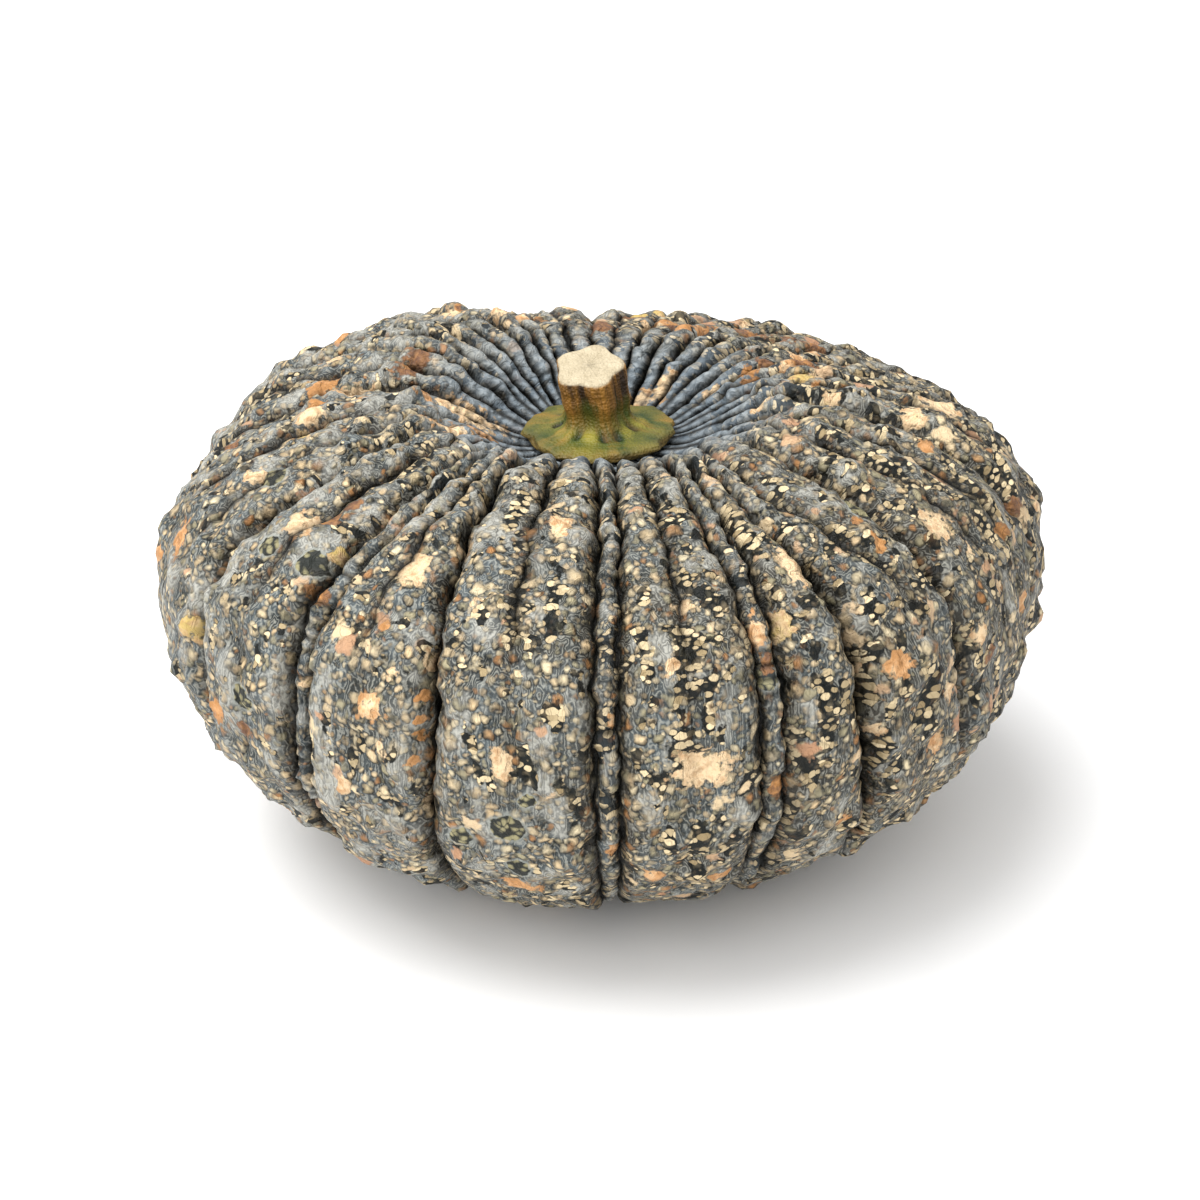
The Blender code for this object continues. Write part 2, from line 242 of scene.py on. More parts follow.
# Blotches: azimuth, arc, half width and half length, in degrees and millimetres, and the tint from yellow (0)
# over peach (0.3), salmon (0.5) and orange (0.75) to brown (1).
BLOTCHES = (
    (11.8, 167, 9, 6.5, 0.32), (-12, 164, 3.5, 5.5, 0.35), (-28, 112, 5, 6.5, 0.30),
    (-28.2, 153, 4.5, 4.5, 0.50), (-6.8, 92, 3, 6, 0.38), (28.4, 113, 4, 7.5, 0.34),
    (23.7, 130, 3.5, 5.5, 0.15), (20.6, 129, 2, 6, 0.50), (20.9, 139, 2, 4, 0.95),
    (21.9, 178, 3.5, 4.5, 0.80), (11.4, 120, 3.8, 2.2, 0.25), (8.5, 137, 2.5, 3, 0.34),
    (31.9, 197, 3, 2.5, 0.72), (-11.9, 214, 6, 4, 0.62), (47.2, 166, 2.8, 3.2, 0.35),
    (46, 182, 3.2, 4.5, 0.50), (38.1, 150, 5, 4, 0.58), (33.5, 149, 1.8, 2, 0.28),
    (32.4, 175, 2.2, 2.6, 0.30), (54.2, 154, 3, 3.6, 0.34), (56.7, 163, 2.6, 2.8, 1),
    (56.3, 119, 5.5, 6, 0.30), (49.1, 109, 2.6, 3, 0.34), (59, 131, 2.2, 2.6, 0.32),
    (61.7, 146, 2.2, 2.4, 0.34), (68.9, 135, 3.4, 3.2, 0.80), (84.4, 144, 3.4, 3.4, 0.42),
    (75.3, 102, 3.2, 3.2, 0.66), (91.8, 105, 9, 6.5, 0.36), (84, 96, 4, 4, 0.30),
    (82.1, 72, 4, 3, 0.22), (98, 69, 4, 2.6, 0.34), (82.4, 50, 3, 4.5, 0.34),
    (115.9, 51, 5, 4.2, 0.80), (118, 58, 4, 3, 0.95), (43.6, 116, 2.4, 3.6, 0.72),
    (43.8, 107, 2.6, 2.6, 0.82), (155, 27, 3.6, 6, 0.42), (145.8, 34, 3, 7, 0.36),
    (120, 39, 2.4, 4, 0.36), (-41.7, 113, 3.2, 3.2, 0.08), (-50.4, 111, 5, 5, 0.32),
    (-47.1, 105, 3, 3, 0.92), (-46.8, 98, 3, 3, 1), (-69.5, 109, 3.2, 3.2, 0.28),
    (-40.9, 127, 3.2, 3.2, 0.85), (-72.9, 137, 4.5, 5.5, 0.66), (-62.4, 155, 3.6, 4.4, 0.06),
    (-56.6, 175, 4.2, 4.2, 0.75), (-50.2, 176, 3, 3, 0.95), (-39.8, 155, 2.6, 2.6, 0.28),
    (-28.2, 130, 2.2, 2.2, 0.70), (-22, 148, 1.9, 1.9, 0.70), (-22.3, 155, 1.9, 1.9, 0.66),
    (-22.6, 161, 1.9, 1.9, 0.72), (-23.4, 168, 1.9, 1.9, 0.60), (-21.7, 137, 2.6, 3.4, 0.26),
    (-27, 165, 2.4, 2.8, 0.28), (-26, 143, 2.2, 2.4, 0.28), (-103.4, 90, 9, 5.5, 0.72),
    (-92.1, 88, 3.4, 3.4, 0.74), (-86.9, 73, 3.4, 3.4, 0.70), (-110, 63, 9, 4.5, 0.94),
    (-64, 51, 5.5, 9, 0.45), (-72, 36, 4.5, 7, 0.60), (-94.5, 40, 7.5, 13, 0.30),
    (-91, 54, 7.5, 5, 0.62), (-57.1, 57, 3, 3.4, 0.50), (-89.8, 117, 6.5, 3.6, 0.94),
    (-76, 91, 4, 2.6, 0.12), (144, 81, 12, 5, 0.92), (130, 88, 9, 4, 0.90),
    (6, 206, 3, 3.4, 0.56), (1.2, 152, 1.5, 2.6, 0.55), (1, 197, 2, 3, 0.62),
    (70, 160, 3, 4, 0.55), (-80, 150, 3, 4, 0.60), (15.5, 212, 3.5, 3, 0.60),
    (-33, 180, 2.5, 3.2, 0.34), (-17, 120, 1.8, 2.6, 0.30), (35.5, 168, 2, 2.4, 0.34),
)
# Round dark green warts, and dark patches drawn out from stem to blossom: azimuth, arc, half width and length.
WARTS = (
    (-11.8, 186, 5, 5), (-18.1, 192, 3.6, 3.6), (-11.4, 204, 3.4, 3.4), (-66.5, 105, 4.2, 4.2),
    (-49.4, 165, 4, 4), (20.6, 144, 2.8, 4), (-43.8, 120, 4.2, 4.2), (-52.7, 121, 3.4, 3.4),
    (46, 103, 3, 6), (-9, 175, 2.6, 2.6),
)
PATCHES = (
    (10.8, 133, 4.5, 9), (9.6, 162, 5, 11), (11.6, 191, 3.6, 7), (42.8, 158, 4.5, 8),
    (-15.8, 86, 2.6, 12), (-11.4, 120, 2.4, 14), (-6.4, 118, 2.2, 16), (24.6, 98, 2.4, 14),
    (27.5, 158, 3.4, 16), (36, 176, 3.6, 9), (62, 96, 4, 8), (57, 86, 3, 8),
    (-46, 76, 3, 10), (-35, 84, 2.6, 12), (66, 130, 4, 9), (48, 128, 3.4, 9),
)
# The sides and the back that the photograph doesn't show carry marks of the same kinds, set by a seed.
FAR_SEED = 23
FAR_BLOTCHES = 95
FAR_PATCHES = 60
SEEN_AZIMUTH = 78
FAR_ARCS = (60, 262)
FAR_HALF_WIDTHS = (1.8, 5.0)
FAR_BLOTCH_SHAPES = (0.8, 1.4)
FAR_PATCH_SHAPES = (2.0, 3.5)
FAR_TINTS = (0.05, 0.3, 0.34, 0.34, 0.5, 0.7, 0.95)


def smooth_step(low, high, value):
    """0 below low, 1 above high, and a smooth ramp between them; takes arrays."""
    share = np.clip((value - low) / (high - low), 0.0, 1.0)
    return share * share * (3 - 2 * share)


def between(low, high, share):
    """The value at this share of the way from low to high."""
    return low + (high - low) * share


def crown_height(radius):
    """Height of the crest above the floor, from the seat out to the waist."""
    dome = np.maximum(0, 1 - (radius / FRUIT_RADIUS) ** CROWN_POWER) ** (1 / CROWN_POWER)
    share = np.clip((radius - SEAT_RADIUS) / (CAVITY_RADIUS - SEAT_RADIUS), 0.0, 1.0)
    return WAIST_HEIGHT + CROWN_RISE * dome - CAVITY_DEPTH * (0.5 + 0.5 * np.cos(math.pi * share))


def base_height(radius):
    """Height of the crest above the floor, from the waist in to the blossom end."""
    bowl = np.maximum(0, 1 - (radius / FRUIT_RADIUS) ** BASE_POWER) ** (1 / BASE_POWER)
    height = np.maximum(0.0, WAIST_HEIGHT - BASE_DROP * bowl)
    return height + BLOSSOM_DEPTH * (1 - smooth_step(0, BLOSSOM_RADIUS, radius))


def crest_outline():
    """Arc, radius and height of dense points along the crest, from the stem's axis to the blossom's."""
    seat, cap = math.asin(SEAT_RADIUS / FRUIT_RADIUS), math.asin(BLOSSOM_CAP_RADIUS / FRUIT_RADIUS)
    crown = FRUIT_RADIUS * np.sin(np.linspace(seat, math.pi / 2, OUTLINE_STEPS + 1))
    base = FRUIT_RADIUS * np.sin(np.linspace(math.pi / 2, cap, OUTLINE_STEPS + 1))[1:]
    radius = np.concatenate(([0.0], crown, base, [0.0]))
    height = np.concatenate((crown_height(crown), base_height(base)))
    height = np.concatenate((height[:1], height, height[-1:]))
    arc = np.concatenate(([0.0], np.cumsum(np.hypot(np.diff(radius), np.diff(height)))))
    return arc, radius, height


def along_stations(values, arc):
    """A value given at the four stations, smoothly followed to these arcs."""
    result = values[0] + np.zeros_like(arc)
    for index in range(1, len(values)):
        step = smooth_step(STATION_ARCS[index - 1], STATION_ARCS[index], arc)
        result += (values[index] - values[index - 1]) * step
    return result


def crest_swell(azimuth, arc):
    """How far the crest rises out of the round outline at these places."""
    turned = (np.degrees(azimuth) - CREST_SWELLS[0][0]) % 360 + CREST_SWELLS[0][0]
    ends = CREST_SWELLS[1:] + ((CREST_SWELLS[0][0] + 360, CREST_SWELLS[0][1]),)
    swell = np.full_like(turned, CREST_SWELLS[0][1])
    for before, after in zip(CREST_SWELLS, ends):
        swell += (after[1] - before[1]) * smooth_step(before[0], after[0], turned)
    return swell * smooth_step(*SWELL_ARCS, arc) * (1 - smooth_step(*SWELL_END_ARCS, arc))


def lean(points):
    """Turn points as the whole fruit leans, about its waist."""
    waist = np.array((0, 0, WAIST_HEIGHT))
    turn = np.array(Matrix.Rotation(-FRUIT_LEAN, 3, "Y"))
    return (points - waist) @ turn.T + waist + np.array(FRUIT_CENTRE)


def on_fruit(outline, azimuth, arc, depth):
    """The points this far under the crest, with the fruit's lean."""
    arcs, radii, heights = outline
    index = np.clip(np.searchsorted(arcs, arc), 1, len(arcs) - 1)
    length = arcs[index] - arcs[index - 1]
    share = np.clip((arc - arcs[index - 1]) / length, 0, 1)
    out = (heights[index - 1] - heights[index]) / length
    up = (radii[index] - radii[index - 1]) / length
    under = depth - crest_swell(azimuth, arc)
    radius = between(radii[index - 1], radii[index], share)
    height = between(heights[index - 1], heights[index], share)
    # The skin never passes the axis that the fruit is turned about.
    reach = np.maximum(0, radius - under * out * smooth_step(0, SEAT_RADIUS, radius))
    return lean(np.stack((reach * np.sin(azimuth), -reach * np.cos(azimuth), height - under * up), -1))


def knobs(outline):
    """(arc, centre, radius, height) of each low swelling, spread evenly over the skin."""
    draw = random.Random(KNOB_SEED)
    last_arc = outline[0][-2]
    made = []
    while len(made) < KNOB_COUNT:
        arc = draw.uniform(KNOB_FREE_ARC, last_arc)
        azimuth = draw.uniform(-math.pi, math.pi)
        radius = draw.uniform(*KNOB_RADII)
        height = draw.uniform(*KNOB_HEIGHTS)
        if draw.random() < np.interp(arc, outline[0], outline[1]) / FRUIT_RADIUS:
            centre = on_fruit(outline, np.array([azimuth]), np.array([arc]), 0)[0]
            made.append((arc, centre, radius, height))
    return made


def knob_rise(crest, row_arcs, swellings):
    """How far the highest swelling near each point of the crest lifts the skin there."""
    rise = np.zeros(crest.shape[:2])
    for arc, centre, radius, height in swellings:
        near = slice(*np.searchsorted(row_arcs, (arc - KNOB_WINDOW * radius, arc + KNOB_WINDOW * radius)))
        distance = np.linalg.norm(crest[near] - centre, axis=-1)
        rise[near] = np.maximum(rise[near], height * (1 - smooth_step(0, radius, distance)))
    return rise


def rib_columns():
    """For each column of the skin, the rib that it is on and its share of the way over that rib."""
    edges = np.array([furrow[3] for furrow in FURROWS])
    widths = (np.roll(edges, -1) - edges) % 360
    spare = SKIN_COLUMNS - LEAST_RIB_COLUMNS * len(FURROWS)
    ends = np.round(np.cumsum(widths) / 360 * spare).astype(int)
    counts = np.diff(np.concatenate(([0], ends))) + LEAST_RIB_COLUMNS
    ribs = np.repeat(np.arange(len(FURROWS)), counts)
    shares = np.concatenate([np.arange(count) / count for count in counts])
    return ribs, shares


def furrow_runs(row_arcs):
    """The azimuth and the depth of every furrow at every row, with the furrows' small wandering."""
    draw = random.Random(WANDER_SEED)
    radius = FRUIT_RADIUS * np.sin(np.clip(row_arcs / (2 * FRUIT_RADIUS), LEAST_WANDER_TURN, math.pi / 2))
    azimuths, depths = [], []
    for index, furrow in enumerate(FURROWS):
        azimuth = np.radians(along_stations(furrow[1:], row_arcs))
        for reach, length in WANDERS:
            phase = draw.uniform(0, math.tau)
            swing = np.sin(math.tau * row_arcs / (length * draw.uniform(*WANDER_STRETCHES)) + phase)
            azimuth += reach * swing * smooth_step(SMOOTH_SEAT_ARC, STATION_ARCS[1], row_arcs) / radius
        azimuths.append(azimuth)
        shallow = smooth_step(SMOOTH_SEAT_ARC, FULL_FURROW_ARC, row_arcs)
        deeper = 1 + CROWN_DEEPENING * smooth_step(*DEEPENING_ARCS[:2], row_arcs) * (
            1 - smooth_step(*DEEPENING_ARCS[2:], row_arcs)
        )
        back = smooth_step(*BACK_AZIMUTHS, np.abs((azimuth + math.pi) % math.tau - math.pi))
        deeper *= 1 - (1 - BACK_SHARE) * back * smooth_step(*FADING_ARCS, row_arcs)
        fading = smooth_step(*FADING_ARCS, row_arcs) if index % 2 else 1
        depths.append(along_stations(furrow[0], row_arcs) * shallow * deeper * fading)
    return np.array(azimuths), np.array(depths)


def crease_depths(ribs, across, row_arcs, narrowness):
    """How deep the creases across the ribs are at each row and column."""
    draw = random.Random(CREASE_SEED)
    dips = np.zeros((len(row_arcs), len(ribs)))
    share = np.maximum(LEAST_CREASE_SHARE, 1 - smooth_step(*CREASE_END_ARCS, row_arcs))[:, None]
    for rib in range(len(FURROWS)):
        mine = ribs == rib
        place = row_arcs[:, None] + CREASE_SLANT * draw.uniform(-1, 1) * across[None, mine]
        arc = FULL_FURROW_ARC
        while arc < row_arcs[-1]:
            arc += draw.uniform(*CREASE_STEPS)
            depth = draw.uniform(*CREASE_DEPTHS)
            dips[:, mine] += depth * np.exp(-(((place - arc) / CREASE_HALF_WIDTH) ** 2))
    dips *= share
    pebbly = smooth_step(*PEBBLE_ARCS, row_arcs)[:, None]
    for rib in range(len(FURROWS)):
        mine = ribs == rib
        arc = FULL_FURROW_ARC
        while arc < row_arcs[-1]:
            arc += draw.uniform(*PEBBLE_STEPS)
            pebble = PEBBLE_CREASE * np.exp(-(((row_arcs[:, None] - arc) / PEBBLE_WIDTH) ** 2))
            dips[:, mine] = np.maximum(dips[:, mine], pebble * pebbly * narrowness[:, mine])
    return dips


def marks_on(skin, marks):
    """How near each place is to its nearest mark, from 1 in its middle to 0 at its rim, and which mark."""
    azimuth, arc, radius = skin
    near = np.full(azimuth.shape, -1.0)
    which = np.zeros(azimuth.shape, int)
    for index, (turn, length, half_width, half_length, *_) in enumerate(marks):
        aside = (azimuth - math.radians(turn) + math.pi) % math.tau - math.pi
        along = (arc - length * MM) / (half_length * MM)
        closeness = 1 - np.hypot(aside * radius / (half_width * MM), along)
        which = np.where(closeness > near, index, which)
        near = np.maximum(near, closeness)
    return near, which


def far_marks():
    """Blotches and patches for the sides and the back, set by a seed."""
    draw = random.Random(FAR_SEED)
    blotches, patches = [], []
    for made, count in ((blotches, FAR_BLOTCHES), (patches, FAR_PATCHES)):
        for _ in range(count):
            azimuth = draw.uniform(SEEN_AZIMUTH, 360 - SEEN_AZIMUTH)
            arc = draw.uniform(*FAR_ARCS)
            width = draw.uniform(*FAR_HALF_WIDTHS)
            length = width * draw.uniform(*(FAR_BLOTCH_SHAPES if made is blotches else FAR_PATCH_SHAPES))
            made.append((azimuth, arc, width, length, draw.choice(FAR_TINTS)))
    return tuple(blotches), tuple(patches)


def clear_selection():
    """Deselect everything, so that the next operator acts on its own piece only."""
    for thing in bpy.context.selected_objects:
        thing.select_set(False)


def add(tree, kind, links=(), **settings):
    """Add a node with its settings, link or set its inputs, in order or by key, and return its outputs."""
    kind, fixed = kind if isinstance(kind, tuple) else (kind, {})
    node = tree.nodes.new(kind)
    for name, value in {**fixed, **settings}.items():
        setattr(node, name, value)
    for name, value in links.items() if isinstance(links, dict) else enumerate(links):
        if isinstance(value, bpy.types.NodeSocket):
            tree.links.new(value, node.inputs[name])
        else:
            shade = isinstance(value, str) and value.startswith("#")
            node.inputs[name].default_value = linear(value) if shade else value
    return node.outputs


def linear(colour):
    """The scene's linear colour for one written as sRGB hex."""
    shades = [int(colour[start:start + 2], 16) / 255 for start in (1, 3, 5)]
    return tuple(s / 12.92 if s <= 0.04045 else ((s + 0.055) / 1.055) ** 2.4 for s in shades) + (1.0,)


def moulded(name, grid, fields):
    """A sheet wrapped onto a grid of points, rows from the top to the foot, closed into one solid skin."""
    rows, columns = grid.shape[0] - 1, grid.shape[1]
    clear_selection()
    bpy.ops.mesh.primitive_grid_add(x_subdivisions=columns, y_subdivisions=rows, size=2)
    thing = bpy.context.object
    thing.name = thing.data.name = name
    places = np.empty(len(thing.data.vertices) * 3)
    thing.data.vertices.foreach_get("co", places)
    x, y, _ = places.reshape(-1, 3).T
    column = np.round((x + 1) / 2 * columns).astype(int) % columns
    row = np.round((1 - y) / 2 * rows).astype(int)
    thing.data.vertices.foreach_set("co", grid[row, column].ravel())
    for field, values in {"rest": grid, **fields}.items():
        kind, key = ("FLOAT", "value") if values.ndim == 2 else ("FLOAT_VECTOR", "vector")
        layer = thing.data.attributes.new(field, kind, "POINT")
        layer.data.foreach_set(key, values[row, column].ravel())
    bpy.ops.object.mode_set(mode="EDIT")
    bpy.ops.mesh.select_all(action="SELECT")
    bpy.ops.mesh.remove_doubles(threshold=SEAM_WELD)
    bpy.ops.mesh.normals_make_consistent(inside=False)
    bpy.ops.object.mode_set(mode="OBJECT")
    bpy.ops.object.shade_smooth()
    return thing


def rind_form(size):
    """The grid of points of the skin, and the values that the finish reads there."""
    outline = crest_outline()
    arcs = np.append(ROW_ARCS, outline[0][-1])
    row_arcs = np.interp(np.arange(size.rows + 1) / size.rows, ROW_SHARES, arcs)
    ribs, shares = rib_columns()
    across = np.sin(math.pi / 2 * (2 * shares - 1))[None, :] + np.zeros((len(row_arcs), 1))
    furrow_turns, furrow_depths = furrow_runs(row_arcs)
    after = (ribs + 1) % len(FURROWS)
    start = furrow_turns[ribs].T
    width = (furrow_turns[after].T - start) % math.tau
    left, right = furrow_depths[ribs].T, furrow_depths[after].T
    arc = row_arcs[:, None] + np.zeros_like(across)
    azimuth = start + width * (across + 1) / 2
    narrowness = 1 - smooth_step(0, CORD_WIDTH, width)
    sink = CORD_SINK * narrowness * smooth_step(*SINK_ARCS, arc)
    sink = np.minimum(sink, np.minimum(left, right))
    edge = np.where(across < 0, left, right)
    roundness = RIB_ROUNDNESS * (1 + WIDE_RIB_BULGE * (1 - narrowness))
    fall = 1 - (1 - np.abs(across) ** roundness) ** RIB_FULLNESS
    depth = sink + (edge - sink) * fall
    crest = on_fruit(outline, azimuth, arc, 0 * arc)
    rise = knob_rise(crest, row_arcs, knobs(outline))
    creases = crease_depths(ribs, across[0], row_arcs, narrowness)
    creases = creases * (1 - smooth_step(*CREASE_FLANK, np.abs(across)))
    room = BEAD_ROOM * smooth_step(SEAT_RADIUS, FULL_FURROW_ARC, arc)
    grid = on_fruit(outline, azimuth, arc, depth - rise + creases + room)
    radius = np.interp(arc, outline[0], outline[1])
    # How much painted shade each furrow lays on the skin beside it.
    furrow_share = [
        smooth_step(LEAST_DARK_FURROW, FULL_DARK_FURROW, deep) * np.exp(-way / FURROW_SHADE_REACH)
        for deep, way in (
            (left, (across + 1) / 2 * width * radius),
            (right, (1 - across) / 2 * width * radius),
        )
    ]
    far_blotches, far_patches = far_marks()
    skin = azimuth, arc, radius
    blotch, which = marks_on(skin, BLOTCHES + far_blotches)
    tints = np.array([mark[4] for mark in BLOTCHES + far_blotches])
    fields = {
        "furrow": np.maximum(*furrow_share),
        "edge": smooth_step(*RIB_FLANK, np.abs(across))
        * smooth_step(LEAST_DARK_FURROW, FULL_DARK_FURROW, edge),
        "ridge": 1 - across**2,
        "cord": narrowness,
        "crown": 1 - smooth_step(*CROWN_ARCS, arc),
        "crease": creases / CREASE_DEPTHS[1],
        "blotch": blotch,
        "tint": tints[which],
        "wart": marks_on(skin, WARTS)[0],
        "patch": marks_on(skin, PATCHES + far_patches)[0],
        "lay": np.stack(
            (radius * np.sin(azimuth), -radius * np.cos(azimuth), arc / LAY_STRETCH), -1
        ),
    }
    return grid, fields


# The kinds of node that the finishes use, some with a fixed setting.
NOISE, VORONOI, ATTRIBUTE = "ShaderNodeTexNoise", "ShaderNodeTexVoronoi", "ShaderNodeAttribute"
RANGE, SPLIT, VECTOR = "ShaderNodeMapRange", "ShaderNodeSeparateXYZ", "ShaderNodeVectorMath"
BLEND = ("ShaderNodeMix", {"data_type": "RGBA"})
TIMES, TIMES_PLUS, PLUS, MINUS, LARGER, SINE = (
    ("ShaderNodeMath", {"operation": name})
    for name in ("MULTIPLY", "MULTIPLY_ADD", "ADD", "SUBTRACT", "MAXIMUM", "SINE")
)


def stirred(tree, place):
    """The place moved a little to and fro, so that the beads come out uneven."""
    stir = add(tree, NOISE, {"Vector": place, "Scale": 1 / STIR_LENGTH, "Detail": 1.0})[1]
    stir = add(tree, VECTOR, (stir, (0.5, 0.5, 0.5)), operation="SUBTRACT")[0]
    return add(tree, VECTOR, (stir, (STIR_REACH,) * 3, place), operation="MULTIPLY_ADD")[0]


def bead_cells(tree, moved, cell, least, most):
    """Beads of one size: how far inside a bead a place is, three chances a bead, how far below its middle."""
    cells = add(tree, VORONOI, {"Vector": moved, "Scale": 1 / cell, "Randomness": 0.9})
    chances = add(tree, SPLIT, (cells["Color"],))
    radius = add(tree, RANGE, (chances[0], 0.0, 1.0, least, most))[0]
    inside = add(tree, MINUS, (radius, cells["Distance"]))[0]
    below = add(tree, VECTOR, (cells["Position"], moved), operation="SUBTRACT")[0]
    below = add(tree, SPLIT, (below,))[2]
    below = add(tree, RANGE, (below, -0.3 * cell, 0.3 * cell))[0]
    return inside, chances, below


def bead_pattern(tree, moved):
    """The sizes of bead that the relief and the finish share."""
    small = bead_cells(tree, moved, SMALL_BEAD_CELL, 0.18, 0.52)
    large = bead_cells(tree, moved, LARGE_BEAD_CELL, 0.14, 0.38)
    return small, large


def swelling(tree, place):
    """Low swellings all over the skin: 0 in the dips, 1 on the heights."""
    swell = add(tree, NOISE, {"Vector": place, "Scale": 1 / SWELL_LENGTH, "Detail": 2.0})[0]
    return add(tree, RANGE, (swell, 0.28, 0.72))[0]


def raise_beads(skin):
    """Lift the beads and the wrinkles of the skin with a modifier, then keep the result."""
    tree = bpy.data.node_groups.new("rind relief", "GeometryNodeTree")
    for way in ("INPUT", "OUTPUT"):
        tree.interface.new_socket("Geometry", in_out=way, socket_type="NodeSocketGeometry")
    entry = add(tree, "NodeGroupInput")[0]
    place = add(tree, "GeometryNodeInputPosition")[0]
    reads = {
        name: add(tree, "GeometryNodeInputNamedAttribute", {"Name": name}, data_type="FLOAT")[0]
        for name in ("edge", "wart", "crown", "cord")
    }
    rise = add(tree, TIMES, (swelling(tree, place), 2 * SWELL_REACH))[0]
    rise = add(tree, MINUS, (rise, SWELL_REACH))[0]
    sizes = zip(bead_pattern(tree, stirred(tree, place)), BEAD_HEIGHTS, BEAD_LEASTS)
    for (inside, chances, _), height, least in sizes:
        dome = add(tree, RANGE, (inside, 0.0, 0.22), interpolation_type="SMOOTHSTEP")[0]
        share = add(tree, TIMES_PLUS, (reads["edge"], EDGE_CROWDING, chances[2]))[0]
        share = add(tree, RANGE, (share, least, least + 0.3))[0]
        lift = add(tree, TIMES, (dome, share))[0]
        rise = add(tree, TIMES_PLUS, (lift, height, rise))[0]
    wart = add(tree, RANGE, (reads["wart"], 0.0, 0.5, 0.0, WART_HEIGHT))[0]
    rise = add(tree, PLUS, (rise, wart))[0]
    calm = add(tree, LARGER, (reads["crown"], reads["cord"]))[0]
    smooth = add(tree, RANGE, (calm, 0.0, 1.0, 1.0, 0.3))[0]
    rise = add(tree, TIMES, (rise, smooth))[0]
    normal = add(tree, "GeometryNodeInputNormal")[0]
    offset = add(tree, VECTOR, {0: normal, "Scale": rise}, operation="SCALE")[0]
    moved = add(tree, "GeometryNodeSetPosition", {"Geometry": entry, "Offset": offset})[0]
    add(tree, "NodeGroupOutput", (moved,))
    modifier = skin.modifiers.new("beads", "NODES")
    modifier.node_group = tree
    bpy.context.view_layer.objects.active = skin
    bpy.ops.object.modifier_apply(modifier=modifier.name)


def new_material(name):
    """An empty material and its node tree."""
    material = bpy.data.materials.new(name)
    material.use_nodes = True
    material.node_tree.nodes.clear()
    return material, material.node_tree


